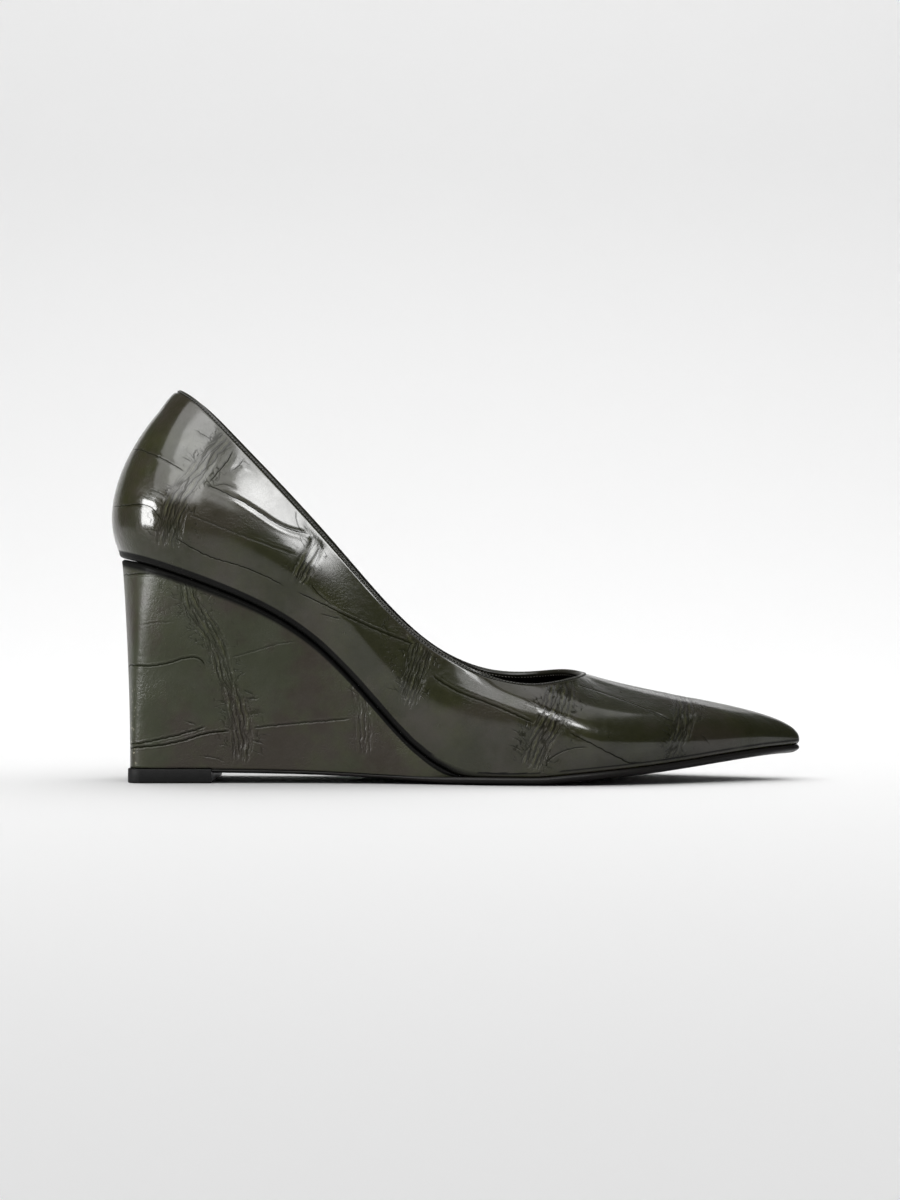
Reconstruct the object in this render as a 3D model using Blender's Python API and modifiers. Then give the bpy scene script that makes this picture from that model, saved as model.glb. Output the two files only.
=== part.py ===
"""Wedge pump, right shoe: a lasted leather upper over an insole, a covered wedge heel, a thin outsole
and a rubber top piece. Metres, +Z up, toe to +X, the shoe's outer side to -Y, the floor at z = 0."""

from collections import namedtuple

import bmesh
import bpy
import numpy as np

MM = 0.001

# Driving sizes of the last
LENGTH = 246 * MM  # rearmost point of the heel to the toe tip, along the floor
SEAT_WIDTH = 51 * MM  # feather edge to feather edge at the heel seat
BALL_WIDTH = 73 * MM  # feather edge to feather edge at the ball
SEAT_RISE = 76.3 * MM  # heel seat above the ball
TOE_SPRING = 9.5 * MM  # toe tip above the ball
COLLAR_WIDTH = 44 * MM  # opening across the quarters
OPENING_WIDTH = 56 * MM  # opening across the front
COLLAR_DEPTH = 65.6 * MM  # top of the heel above the seat
THROAT_DEPTH = 33.9 * MM  # throat above the bed of the forefoot
LIP = 2.3 * MM  # upturn of the throat's edge

# Driving sizes of the pieces
WALL = 1.8 * MM  # leather with its lining
FEATHER_RADIUS = 1.8 * MM  # rounding where the upper turns under
MARGIN = 8 * MM  # lasted margin under the insole
INSOLE_THICKNESS = 2.0 * MM
INSOLE_INSET = 3.4 * MM  # inside the feather edge, clear of the wall
INSOLE_ROUND = 0.6 * MM  # rounding of its upper edge
SOLE_THICKNESS = 2.4 * MM
SHANK_THICKNESS = 1.3 * MM  # sole under the wedge
SHANK_CLEARANCE = 3.5 * MM  # floor to sole, behind the ball
SOLE_EDGE_LIFT = 1.0 * MM  # rounding of the tread's edge
SOLE_EDGE_INSET = 3.5 * MM
SOLE_EDGE_ROUND = 0.4 * MM
TOP_PIECE_LENGTH = 29.7 * MM
TOP_PIECE_WIDTH = 44 * MM
TOP_PIECE_HEIGHT = 5.0 * MM
TOP_PIECE_BACK = 7.9 * MM  # from the heel's rearmost point
TOP_PIECE_CORNER = 5 * MM
TOP_PIECE_FRONT = TOP_PIECE_BACK + TOP_PIECE_LENGTH
WEDGE_INSET = 1.0 * MM  # wedge's top edge inside the feather edge
WEDGE_EDGE = 1.2 * MM  # rounding of the wedge's top edge
WEDGE_TIP_EDGE = 0.5 * MM  # thickness of the wedge's front edge
GAP = 0.3 * MM  # between pieces that are glued in the real shoe

# Mesh resolution. A ring count is the number of points on one side of the shoe.
UPPER_RING_COUNT = 45
WEDGE_RING_COUNT = 40
SOLE_RING_COUNT = 48
WALL_RINGS = 11
WEDGE_RINGS = 6
CORNER_SEGMENTS = 6
DENSE_POINTS = 400  # for outlines that are sampled again
EVENNESS = 0.4  # share of a side's points that are evenly spread, where the rest gather at its ends
WELD = 0.01 * MM

# Finishes of the solids: linear colour and roughness
Finish = namedtuple("Finish", "colour roughness")
LEATHER = Finish((0.028, 0.030, 0.014), 0.28)
WEDGE_LEATHER = Finish((0.030, 0.032, 0.018), 0.36)
SOCK = Finish((0.012, 0.012, 0.012), 0.7)
SOLE = Finish((0.010, 0.010, 0.010), 0.4)
RUBBER = Finish((0.012, 0.012, 0.012), 0.5)
SHARP_ANGLE = np.radians(35)

# The height of the bed, the surface that the upper and insole lie on: along is a share of LENGTH, heel a
# share of SEAT_RISE and spring a share of TOE_SPRING.
BedRow = namedtuple("BedRow", "along heel spring")
BED = [
    BedRow(0.000, 1.010, 0.00),
    BedRow(0.055, 0.972, 0.00),
    BedRow(0.100, 0.928, 0.00),
    BedRow(0.160, 0.858, 0.00),
    BedRow(0.215, 0.782, 0.00),
    BedRow(0.260, 0.702, 0.00),
    BedRow(0.300, 0.608, 0.00),
    BedRow(0.343, 0.476, 0.00),
    BedRow(0.385, 0.327, 0.00),
    BedRow(0.414, 0.222, 0.00),
    BedRow(0.442, 0.134, 0.00),
    BedRow(0.477, 0.052, 0.00),
    BedRow(0.510, 0.006, 0.00),
    BedRow(0.530, 0.000, 0.00),
    BedRow(0.610, 0.000, 0.00),
    BedRow(0.660, 0.000, 0.10),
    BedRow(0.715, 0.000, 0.23),
    BedRow(0.772, 0.000, 0.37),
    BedRow(0.830, 0.000, 0.55),
    BedRow(0.890, 0.000, 0.75),
    BedRow(0.950, 0.000, 0.92),
    BedRow(1.000, 0.000, 1.00),
]

# The underside behind the ball: clearance is a share of SHANK_CLEARANCE, and thick goes from the shank's
# thickness at 0 to the forefoot sole's at 1.
ShankRow = namedtuple("ShankRow", "along clearance thick")
SHANK = [
    ShankRow(0.000, 1.10, 0.0),
    ShankRow(0.150, 1.00, 0.0),
    ShankRow(0.270, 0.86, 0.0),
    ShankRow(0.345, 0.66, 0.0),
    ShankRow(0.420, 0.34, 0.2),
    ShankRow(0.480, 0.04, 0.8),
    ShankRow(0.500, 0.00, 1.0),
    ShankRow(1.000, 0.00, 1.0),
]

# Sections of the upper from the heel's centre line (first row) to the toe tip (last row). Each is a curve
# from the feather edge up to the topline:
#   x         place of the feather point, a share of LENGTH
#   out, in_  feather point on the outer and inner side, shares of the width there
#   tx        place of the topline point, a share of LENGTH
#   tout, tin topline point on the outer and inner side, shares of the opening's width there
#   hout, hin topline's height over the bed, shares of the depth there
#   rise, flare        first handle of the curve, up and outward, shares of depth and width
#   pull, cheek, drop  second handle: share of the way back to the feather, outward and down
#   lip       how far the topline turns up, a share of LIP
Section = namedtuple("Section", "x out in_ tx tout tin hout hin rise flare pull cheek drop lip")
SECTIONS = [
    Section(0.0120, 0.000, 0.000, 0.1000, 0.000, 0.000, 1.000, 1.000, 0.26, 0.157, 0.84, 0.00, 0.26, 0.0),
    Section(0.0230, 0.225, 0.225, 0.1090, 0.210, 0.210, 0.993, 0.993, 0.26, 0.155, 0.79, 0.02, 0.26, 0.0),
    Section(0.0570, 0.408, 0.408, 0.1340, 0.360, 0.360, 0.960, 0.960, 0.26, 0.145, 0.63, 0.05, 0.27, 0.0),
    Section(0.1150, 0.496, 0.494, 0.1790, 0.462, 0.462, 0.858, 0.858, 0.27, 0.130, 0.50, 0.09, 0.28, 0.0),
    Section(0.1950, 0.490, 0.482, 0.2520, 0.505, 0.505, 0.706, 0.706, 0.28, 0.105, 0.50, 0.10, 0.28, 0.0),
    Section(0.2850, 0.470, 0.440, 0.3330, 0.535, 0.520, 0.620, 0.620, 0.30, 0.110, 0.50, 0.095, 0.28, 0.0),
    Section(0.3750, 0.450, 0.400, 0.4110, 0.565, 0.535, 0.692, 0.690, 0.34, 0.100, 0.50, 0.03, 0.30, 0.0),
    Section(0.4550, 0.462, 0.405, 0.4840, 0.585, 0.555, 0.862, 0.852, 0.40, 0.065, 0.50, 0.04, 0.26, 0.0),
    Section(0.5350, 0.484, 0.442, 0.5490, 0.550, 0.530, 0.930, 0.958, 0.46, 0.020, 0.50, 0.07, 0.18, 0.0),
    Section(0.6150, 0.494, 0.488, 0.6060, 0.479, 0.470, 0.953, 1.036, 0.50, 0.010, 0.50, 0.11, 0.17, 0.2),
    Section(0.6900, 0.480, 0.511, 0.6480, 0.348, 0.360, 0.970, 1.050, 0.42, 0.080, 0.45, 0.13, 0.24, 0.6),
    Section(0.7700, 0.405, 0.460, 0.6710, 0.205, 0.225, 0.986, 1.036, 0.41, 0.120, 0.43, 0.07, 0.22, 0.9),
    Section(0.8600, 0.272, 0.335, 0.6805, 0.100, 0.125, 0.994, 1.016, 0.40, 0.085, 0.43, 0.02, 0.20, 1.0),
    Section(0.9400, 0.123, 0.192, 0.6835, 0.040, 0.070, 0.999, 1.004, 0.36, 0.050, 0.48, 0.00, 0.20, 1.0),
    Section(0.9820, 0.030, 0.106, 0.6842, 0.004, 0.036, 1.000, 1.000, 0.31, 0.025, 0.50, 0.00, 0.21, 1.0),
    Section(1.0000, -0.040, 0.040, 0.6845, -0.015, 0.015, 1.000, 1.000, 0.29, 0.009, 0.52, 0.00, 0.21, 1.0),
]
LIP_SHARPNESS = 8  # how close to the topline the lip begins

# How the upper turns under at the feather edge: inset and lift are shares of FEATHER_RADIUS.
TurnRow = namedtuple("TurnRow", "inset lift")
TURN = [
    TurnRow(1.15, 0.0),
    TurnRow(0.32, 0.3),
]

# The foot of the wedge, from the heel's centre line forward: x is a share of the way from the back of the
# top piece to the wedge's tip, and out and in_ are shares of the top piece's width.
FootRow = namedtuple("FootRow", "x out in_")
WEDGE_FOOT = [
    FootRow(0.000, 0.000, 0.000),
    FootRow(0.001, 0.180, 0.180),
    FootRow(0.005, 0.350, 0.350),
    FootRow(0.020, 0.457, 0.457),
    FootRow(0.060, 0.493, 0.493),
    FootRow(0.150, 0.497, 0.497),
    FootRow(0.290, 0.497, 0.495),
    FootRow(0.480, 0.500, 0.475),
    FootRow(0.680, 0.535, 0.465),
    FootRow(0.860, 0.600, 0.505),
    FootRow(1.000, 0.670, 0.570),
]
WEDGE_BOW = 0.75  # how early the wedge's wall moves in on its way down
EDGE_SHARE = 0.4  # most of the wedge's height that the rounding of its top edge takes
JOIN_FROM = 0.75  # share of the wedge's reach where the sole's outline leaves the foot for the feather edge
JOIN_GAP = 1.0 * MM  # from the wedge's tip to the first point of the sole on the feather edge

BLEND_FROM, BLEND_TO = 0.30, 0.62  # where the heel's sizes give way to the forefoot's
TOE_FROM = 0.65  # share of LENGTH where the toe's outline begins to close in
TOE_KEEP = 0.35  # least share of the half width that an inset leaves at the toe
TOE_SLANT = 1.08  # an inset measured across the shoe, for one measured square to the toe's slanted side


def blend(back, front, along):
    """A size that is back at the heel and front at the ball."""
    t = np.clip((along - BLEND_FROM) / (BLEND_TO - BLEND_FROM), 0, 1)
    return back + (front - back) * t * t * (3 - 2 * t)


def table_curve(rows, column):
    """A function of along that runs smoothly through a table's column and keeps its flat stretches flat."""
    xs = np.array([row.along for row in rows])
    ys = np.array([getattr(row, column) for row in rows])
    steps = np.diff(ys) / np.diff(xs)
    slopes = np.zeros(len(xs))
    before, after = steps[:-1], steps[1:]
    same_way = before * after > 0
    slopes[1:-1][same_way] = 2 * (before * after)[same_way] / (before + after)[same_way]
    slopes[0], slopes[-1] = steps[0], steps[-1]

    def value(x):
        i = np.clip(np.searchsorted(xs, x) - 1, 0, len(xs) - 2)
        width = xs[i + 1] - xs[i]
        t = (x - xs[i]) / width
        lift = ys[i] * (2 * t**3 - 3 * t**2 + 1) + ys[i + 1] * (3 * t**2 - 2 * t**3)
        return lift + width * (slopes[i] * (t**3 - 2 * t**2 + t) + slopes[i + 1] * (t**3 - t**2))

    return value


bed_heel = table_curve(BED, "heel")
bed_spring = table_curve(BED, "spring")
shank_clearance = table_curve(SHANK, "clearance")
shank_thick = table_curve(SHANK, "thick")


def bed(x):
    """Height of the bed at x from the heel's rearmost point."""
    along = np.clip(x / LENGTH, 0, 1)
    return SOLE_THICKNESS + GAP + bed_heel(along) * SEAT_RISE + bed_spring(along) * TOE_SPRING


def over_bed(x, lift):
    """Height at x of a surface that runs parallel to the bed, lift above it."""
    step = 0.5 * MM
    slope = (bed(x + step) - bed(x - step)) / (2 * step)
    return bed(x) + lift * np.sqrt(1 + slope**2)


def sole_bottom(x):
    """Height of the sole's underside: the shank's clearance, the flat tread, then the toe spring."""
    along = np.clip(x / LENGTH, 0, 1)
    return shank_clearance(along) * SHANK_CLEARANCE + bed_spring(along) * TOE_SPRING


def sole_top(x):
    along = np.clip(x / LENGTH, 0, 1)
    return sole_bottom(x) + SHANK_THICKNESS + shank_thick(along) * (SOLE_THICKNESS - SHANK_THICKNESS)


def spline(points, closed):
    """A smooth curve through points, each a row of columns, with steps as long as the first three columns
    are apart. Gives a function and the curve parameter of each point."""
    points = np.array(points, float)
    if closed:
        points = np.vstack([points, points[:1]])
    knots = np.concatenate([[0], np.cumsum(np.linalg.norm(np.diff(points[:, :3], axis=0), axis=1))])
    count = len(points)
    width = np.diff(knots)
    slope = np.diff(points, axis=0) / width[:, None]
    matrix = np.zeros((count, count))
    right = np.zeros_like(points)
    for i in range(1, count - 1):
        matrix[i, i - 1 : i + 2] = width[i - 1], 2 * (width[i - 1] + width[i]), width[i]
        right[i] = 6 * (slope[i] - slope[i - 1])
    if closed:
        matrix[0, 0], matrix[0, -1] = 1, -1
        matrix[-1, 0], matrix[-1, 1] = 2 * width[0], width[0]
        matrix[-1, -1], matrix[-1, -2] = 2 * width[-1], width[-1]
        right[-1] = 6 * (slope[0] - slope[-1])
    else:
        matrix[0, 0] = matrix[-1, -1] = 1
    bend = np.linalg.solve(matrix, right)

    def value(t):
        t = np.asarray(t, float)
        i = np.clip(np.searchsorted(knots, t) - 1, 0, count - 2)
        h = width[i][:, None]
        a = (knots[i + 1] - t)[:, None] / h
        b = 1 - a
        line = a * points[i] + b * points[i + 1]
        return line + ((a**3 - a) * bend[i] + (b**3 - b) * bend[i + 1]) * h**2 / 6

    return value, knots


def last_rows():
    """The sections as points in metres, once round the shoe: outer side forward, inner side back. Columns:
    feather x, y, z, topline x, y, z, then the handles rise, flare, pull, cheek and drop, and the lip."""
    rows = []
    for side, sections in ((-1, SECTIONS), (1, SECTIONS[-2:0:-1])):
        for s in sections:
            share, top_share, high = (s.out, s.tout, s.hout) if side < 0 else (s.in_, s.tin, s.hin)
            width = blend(SEAT_WIDTH, BALL_WIDTH, s.x)
            opening = blend(COLLAR_WIDTH, OPENING_WIDTH, s.tx)
            depth = blend(COLLAR_DEPTH, THROAT_DEPTH, s.tx)
            x, tx = s.x * LENGTH, s.tx * LENGTH
            rows.append(
                [
                    x,
                    side * share * width,
                    over_bed(x, FEATHER_RADIUS),
                    tx,
                    side * top_share * opening,
                    bed(tx) + high * depth,
                    s.rise * depth,
                    s.flare * width,
                    s.pull,
                    s.cheek * width,
                    s.drop * depth,
                    s.lip * LIP,
                ]
            )
    return rows


def sample_steps(count):
    """Steps from 0 to 1, closer at both ends."""
    even = np.linspace(0, 1, count)
    return EVENNESS * even + (1 - EVENNESS) * (0.5 - 0.5 * np.cos(np.pi * even))


last, last_knots = spline(last_rows(), closed=True)
TIP_KNOT = last_knots[len(SECTIONS) - 1]


def around(count):
    """Curve parameters once round the shoe, outer side from heel to toe and then inner side back."""
    steps = sample_steps(count)
    outer = steps * TIP_KNOT
    inner = last_knots[-1] - steps * (last_knots[-1] - TIP_KNOT)
    return np.concatenate([outer, inner[::-1]])


def feather(t):
    """Feather edge and its outward direction in plan."""
    step = 0.2 * MM
    at = last(t)[:, :2]
    ahead = last(np.mod(t + step, last_knots[-1]))[:, :2] - last(np.mod(t - step, last_knots[-1]))[:, :2]
    ahead /= np.linalg.norm(ahead, axis=1)[:, None]
    return at, np.stack([ahead[:, 1], -ahead[:, 0]], axis=1)


def sides_of(ring):
    """A ring's outer side and inner side, each from heel to toe."""
    half = len(ring) // 2
    return ring[:half], ring[half:][::-1]


def inset_ring(count, inset):
    """Plan points inside the feather edge. At the toe they close in on the middle without crossing it."""
    at, outward = feather(around(count))
    plan = at - outward * inset
    outer, inner = sides_of(feather(around(DENSE_POINTS))[0])
    x = at[:, 0]
    out_y = np.interp(x, outer[:, 0], outer[:, 1])
    in_y = np.interp(x, inner[:, 0], inner[:, 1])
    middle, half = (in_y + out_y) / 2, (in_y - out_y) / 2
    side = np.repeat([-1, 1], count)
    toe = x > TOE_FROM * LENGTH
    near = np.clip((x / LENGTH - TOE_FROM) / (1 - TOE_FROM), 0, 1)
    narrow = np.maximum(half - inset * TOE_SLANT, half * TOE_KEEP)
    closed = np.column_stack([x - inset * TOE_SLANT * near * near, middle + side * narrow])
    plan[toe] = closed[toe]
    return plan


def upper_rings():
    """Rings of the upper's outer skin from the lasted margin up to the topline."""
    t = around(UPPER_RING_COUNT)
    rings = []
    turn = [(row.inset * FEATHER_RADIUS, row.lift * FEATHER_RADIUS) for row in TURN]
    for inset, lift in [(MARGIN, 0), *turn]:
        plan = inset_ring(UPPER_RING_COUNT, inset)
        rings.append(np.column_stack([plan, over_bed(plan[:, 0], lift)]))
    row = last(t)
    outward = feather(t)[1]
    start, end = row[:, :3], row[:, 3:6]
    rise, flare, pull, cheek, drop, lip = (row[:, k][:, None] for k in range(6, 12))
    flat = np.column_stack([outward, np.zeros(len(t))])
    up = np.array([0, 0, 1])
    plan_back = (start - end) * np.array([1, 1, 0])
    first = start + flat * flare + up * rise
    end = end - up * lip
    second = end + plan_back * pull + flat * cheek - up * drop
    for v in np.linspace(0, 1, WALL_RINGS):
        w = 1 - v
        curve = w**3 * start + 3 * w * w * v * first + 3 * w * v * v * second + v**3 * end
        rings.append(curve + up * lip * v**LIP_SHARPNESS)
    return rings


def skin(name, rings, capped):
    """A mesh through closed rings, each outer side forward and inner side back. Capped, its first and last
    rings are filled with strips from side to side."""
    mesh = bmesh.new()
    loops = [[mesh.verts.new(point) for point in ring] for ring in rings]
    count = len(loops[0])
    for low, high in zip(loops, loops[1:]):
        for i in range(count):
            j = (i + 1) % count
            mesh.faces.new((low[i], low[j], high[j], high[i]))
    if capped:
        for loop in (loops[0], loops[-1]):
            for i in range(count // 2 - 1):
                mesh.faces.new((loop[i], loop[i + 1], loop[count - 2 - i], loop[count - 1 - i]))
    bmesh.ops.remove_doubles(mesh, verts=mesh.verts, dist=WELD)
    if capped:
        bmesh.ops.recalc_face_normals(mesh, faces=mesh.faces)
    data = bpy.data.meshes.new(name)
    mesh.to_mesh(data)
    mesh.free()
    return data


def place(name, data, finish):
    """One sub-part in the shoe's collection, hung on the shoe's origin, with a material of its own."""
    made = bpy.data.objects.new(name, data)
    bpy.data.collections["wedge_pump"].objects.link(made)
    made.parent = bpy.data.objects["shoe_origin"]
    material = bpy.data.materials.new(name)
    material.use_nodes = True
    shader = material.node_tree.nodes["Principled BSDF"]
    shader.inputs["Base Color"].default_value = (*finish.colour, 1)
    shader.inputs["Roughness"].default_value = finish.roughness
    shader.inputs["Metallic"].default_value = 0
    data.materials.append(material)
    data.shade_smooth()
    data.set_sharp_from_angle(angle=SHARP_ANGLE)
    return made


def build_upper():
    shell = place("upper", skin("upper", upper_rings(), capped=False), LEATHER)
    wall = shell.modifiers.new("wall", "SOLIDIFY")
    wall.thickness = WALL
    wall.offset = -1
    wall.use_even_offset = True
    return shell


def build_insole():
    low = WALL + GAP
    high = low + INSOLE_THICKNESS
    rings = []
    for inward, lift in ((0, low), (0, high - INSOLE_ROUND), (INSOLE_ROUND, high)):
        plan = inset_ring(UPPER_RING_COUNT, INSOLE_INSET + inward)
        rings.append(np.column_stack([plan, over_bed(plan[:, 0], lift)]))
    return place("insole", skin("insole", rings, capped=True), SOCK)


def wedge_tip():
    """Where the wedge has thinned to its front edge between the bed and the sole."""
    x = np.linspace(TOP_PIECE_FRONT, TOE_FROM * LENGTH, DENSE_POINTS)
    room = over_bed(x, -GAP) - sole_top(x) - GAP
    return x[np.argmax(room < WEDGE_TIP_EDGE)]


WEDGE_TIP = wedge_tip()


def forward(side):
    """A side's places along the shoe, which never go back."""
    return np.maximum.accumulate(side[:, 0])


def plan_ring(outer, inner, count, to_x=None):
    """One ring through the two sides' polylines, count points each, from the heel to to_x or to the end."""
    sides = []
    for side in (outer, inner):
        length = np.concatenate([[0], np.cumsum(np.linalg.norm(np.diff(side, axis=0), axis=1))])
        end = length[-1] if to_x is None else np.interp(to_x, forward(side), length)
        at = sample_steps(count) * end
        sides.append(np.column_stack([np.interp(at, length, side[:, k]) for k in (0, 1)]))
    return np.vstack([sides[0], sides[1][::-1]])


def dense_sides(inset):
    """The outline inside the feather edge as two fine polylines from the heel to the toe."""
    return sides_of(inset_ring(DENSE_POINTS, inset))


def wedge_foot_sides():
    """The wedge's foot as two fine polylines from the heel's centre line to the tip."""
    reach = WEDGE_TIP - TOP_PIECE_BACK
    path = [(TOP_PIECE_BACK + r.x * reach, -r.out * TOP_PIECE_WIDTH, 0) for r in WEDGE_FOOT[::-1]]
    path += [(TOP_PIECE_BACK + r.x * reach, r.in_ * TOP_PIECE_WIDTH, 0) for r in WEDGE_FOOT[1:]]
    curve, knots = spline(path, closed=False)
    middle = knots[len(WEDGE_FOOT) - 1]
    outer = curve(np.linspace(middle, 0, DENSE_POINTS))[:, :2]
    inner = curve(np.linspace(middle, knots[-1], DENSE_POINTS))[:, :2]
    return outer, inner


def wedge_rings():
    """Rings of the wedge from its foot, on the top piece and the sole, up to its edge under the upper."""
    foot = plan_ring(*wedge_foot_sides(), WEDGE_RING_COUNT)
    edge = plan_ring(*dense_sides(WEDGE_INSET), WEDGE_RING_COUNT, WEDGE_TIP)
    inner_edge = plan_ring(*dense_sides(WEDGE_INSET + WEDGE_EDGE), WEDGE_RING_COUNT, WEDGE_TIP)
    bottom = np.maximum(sole_top(foot[:, 0]), TOP_PIECE_HEIGHT * (foot[:, 0] < TOP_PIECE_FRONT)) + GAP
    top = over_bed(edge[:, 0], -GAP)
    rounding = np.minimum(WEDGE_EDGE, EDGE_SHARE * np.maximum(top - bottom, 0))
    rings = []
    for level in np.linspace(0, 1, WEDGE_RINGS):
        inward = (1 - level) ** WEDGE_BOW
        plan = edge + (foot - edge) * inward
        rings.append(np.column_stack([plan, bottom + (top - rounding - bottom) * level]))
    rings.append(np.column_stack([inner_edge, over_bed(inner_edge[:, 0], -GAP)]))
    return rings


def build_wedge():
    return place("wedge", skin("wedge", wedge_rings(), capped=True), WEDGE_LEATHER)


def outsole_sides(inset):
    """The sole's outline: the wedge's foot behind the ball, the feather edge in front of it."""
    x = np.linspace(TOP_PIECE_FRONT + GAP, WEDGE_TIP, DENSE_POINTS // 2)
    near_tip = np.clip((x / WEDGE_TIP - JOIN_FROM) / (1 - JOIN_FROM), 0, 1) ** 2
    sides = []
    for sign, foot, edge in zip((-1, 1), wedge_foot_sides(), dense_sides(inset)):
        start = np.searchsorted(forward(edge), WEDGE_TIP + JOIN_GAP)
        narrow = np.interp(x, forward(foot), foot[:, 1]) - sign * inset
        joined = np.interp(WEDGE_TIP, forward(edge), edge[:, 1])
        shift = (joined - narrow[-1]) * near_tip
        sides.append(np.vstack([np.column_stack([x, narrow + shift]), edge[start:]]))
    return sides


def outsole_rings():
    """Rings of the sole from the edge of its tread up to the edge of its top."""
    levels = (
        (SOLE_EDGE_INSET, sole_bottom, 0),
        (SOLE_EDGE_ROUND, sole_bottom, SOLE_EDGE_LIFT),
        (0, sole_top, -SOLE_EDGE_ROUND),
        (SOLE_EDGE_ROUND / 2, sole_top, 0),
    )
    rings = []
    for inset, height, lift in levels:
        plan = plan_ring(*outsole_sides(inset), SOLE_RING_COUNT)
        x = plan[:, 0]
        thin = (sole_top(x) - sole_bottom(x)) / SOLE_THICKNESS
        rings.append(np.column_stack([plan, height(x) + lift * thin]))
    return rings


def build_outsole():
    return place("outsole", skin("outsole", outsole_rings(), capped=True), SOLE)


def build_top_piece():
    mesh = bmesh.new()
    bmesh.ops.create_cube(mesh, size=1)
    for vert in mesh.verts:
        vert.co.x = TOP_PIECE_BACK + (vert.co.x + 0.5) * TOP_PIECE_LENGTH
        vert.co.y *= TOP_PIECE_WIDTH
        vert.co.z = (vert.co.z + 0.5) * TOP_PIECE_HEIGHT
    back = [
        e
        for e in mesh.edges
        if abs(e.verts[0].co.z - e.verts[1].co.z) > TOP_PIECE_HEIGHT / 2
        and e.verts[0].co.x < TOP_PIECE_BACK + TOP_PIECE_LENGTH / 2
    ]
    bmesh.ops.bevel(
        mesh, geom=back, offset=TOP_PIECE_CORNER, segments=CORNER_SEGMENTS, profile=0.5, affect="EDGES"
    )
    data = bpy.data.meshes.new("top_piece")
    mesh.to_mesh(data)
    mesh.free()
    return place("top_piece", data, RUBBER)


def main():
    for old in list(bpy.data.objects):
        bpy.data.objects.remove(old, do_unlink=True)
    collection = bpy.data.collections.new("wedge_pump")
    bpy.context.scene.collection.children.link(collection)
    origin = bpy.data.objects.new("shoe_origin", None)
    origin.location = (-(TOP_PIECE_BACK + TOP_PIECE_LENGTH / 2), 0, 0)
    collection.objects.link(origin)
    build_upper()
    build_insole()
    build_wedge()
    build_outsole()
    build_top_piece()


main()
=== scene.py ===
"""Dresses the wedge pump: creased glossy leather over its upper and wedge, a lining, a sock, stitches, the
sole's and the top piece's finish, and a pale studio. Metres, toe to +X, outer side to -Y, floor at z = 0."""

from collections import namedtuple

import bmesh
import bpy
import numpy as np
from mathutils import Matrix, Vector, kdtree


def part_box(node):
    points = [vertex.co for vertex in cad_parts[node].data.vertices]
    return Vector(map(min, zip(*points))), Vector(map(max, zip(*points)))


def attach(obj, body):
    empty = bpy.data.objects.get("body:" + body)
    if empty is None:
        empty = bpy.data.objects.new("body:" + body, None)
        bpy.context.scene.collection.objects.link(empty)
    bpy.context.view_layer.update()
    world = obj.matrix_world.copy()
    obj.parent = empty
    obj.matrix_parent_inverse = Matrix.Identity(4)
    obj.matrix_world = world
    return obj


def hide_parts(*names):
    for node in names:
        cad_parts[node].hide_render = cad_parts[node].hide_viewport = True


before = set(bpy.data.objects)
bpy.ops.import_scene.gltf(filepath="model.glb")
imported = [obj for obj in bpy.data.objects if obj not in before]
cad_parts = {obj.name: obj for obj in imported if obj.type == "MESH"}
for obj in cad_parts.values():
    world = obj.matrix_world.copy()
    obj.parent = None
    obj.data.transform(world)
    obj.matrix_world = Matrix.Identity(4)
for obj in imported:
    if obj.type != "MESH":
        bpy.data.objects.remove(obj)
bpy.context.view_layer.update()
TOP_PIECE_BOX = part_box("top_piece")

bl_info = {
    "name": "Wedge pump",
    "version": (1, 0, 0),
    "blender": (4, 5, 0),
    "location": "3D View > Sidebar > Wedge pump",
    "description": "Builds the leather, lining, stitches and studio of a wedge pump",
    "category": "Add Mesh",
}

MM = 0.001
OUTER, INNER = -1, 1  # the sides of the shoe, as signs of y

# Points round and up the fine meshes
UPPER_SIDE_COUNT = 372
UPPER_WALL_COUNT = 104
WEDGE_SIDE_COUNT = 300
WEDGE_WALL_COUNT = 96
SOLE_SIDE_COUNT = 240
SOCK_SIDE_COUNT = 200
LINING_SIDE_COUNT = 240
LINING_WALL_COUNT = 60
DENSE_COUNT = 400
RIM_COUNT = 9
FOLD_COUNT = 8
TURN_COUNT = 5
SHOULDER_COUNT = 6
TOP_PIECE_CORNER_COUNT = 14
TOP_PIECE_RIM_COUNT = 3
EVENNESS = 0.6  # share of a side's points that are evenly spread, where the rest gather at its ends
DENSE_EVENNESS = 0.4

# Small sizes of the finished pieces
TOP_PIECE_BACK = 7.9 * MM  # from the heel's rearmost point
HEEL_X = TOP_PIECE_BOX[0].x - TOP_PIECE_BACK  # the heel's rearmost point in the frame
SLOPE_STEP = 0.5 * MM
FEATHER_STEP = 0.2 * MM
WEDGE_TIP_EDGE = 0.5 * MM  # thickness of the wedge's front edge
RIM_HEIGHT = 3.0 * MM  # the wall's finer rings below the topline
FOLD_HEIGHT = 0.45 * MM  # how much of the topline's height its rounded fold takes
LINING_EDGE = 1.2 * MM  # where the leather that is folded in meets the lining
LINING_GAP = 0.06 * MM
TURN_START = 3.2 * MM  # from the feather edge, where the upper starts to turn under
TOP_PIECE_ROUND = 0.35 * MM
STITCH_ROUND = 6  # points round a stitch, and rings along it

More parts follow.
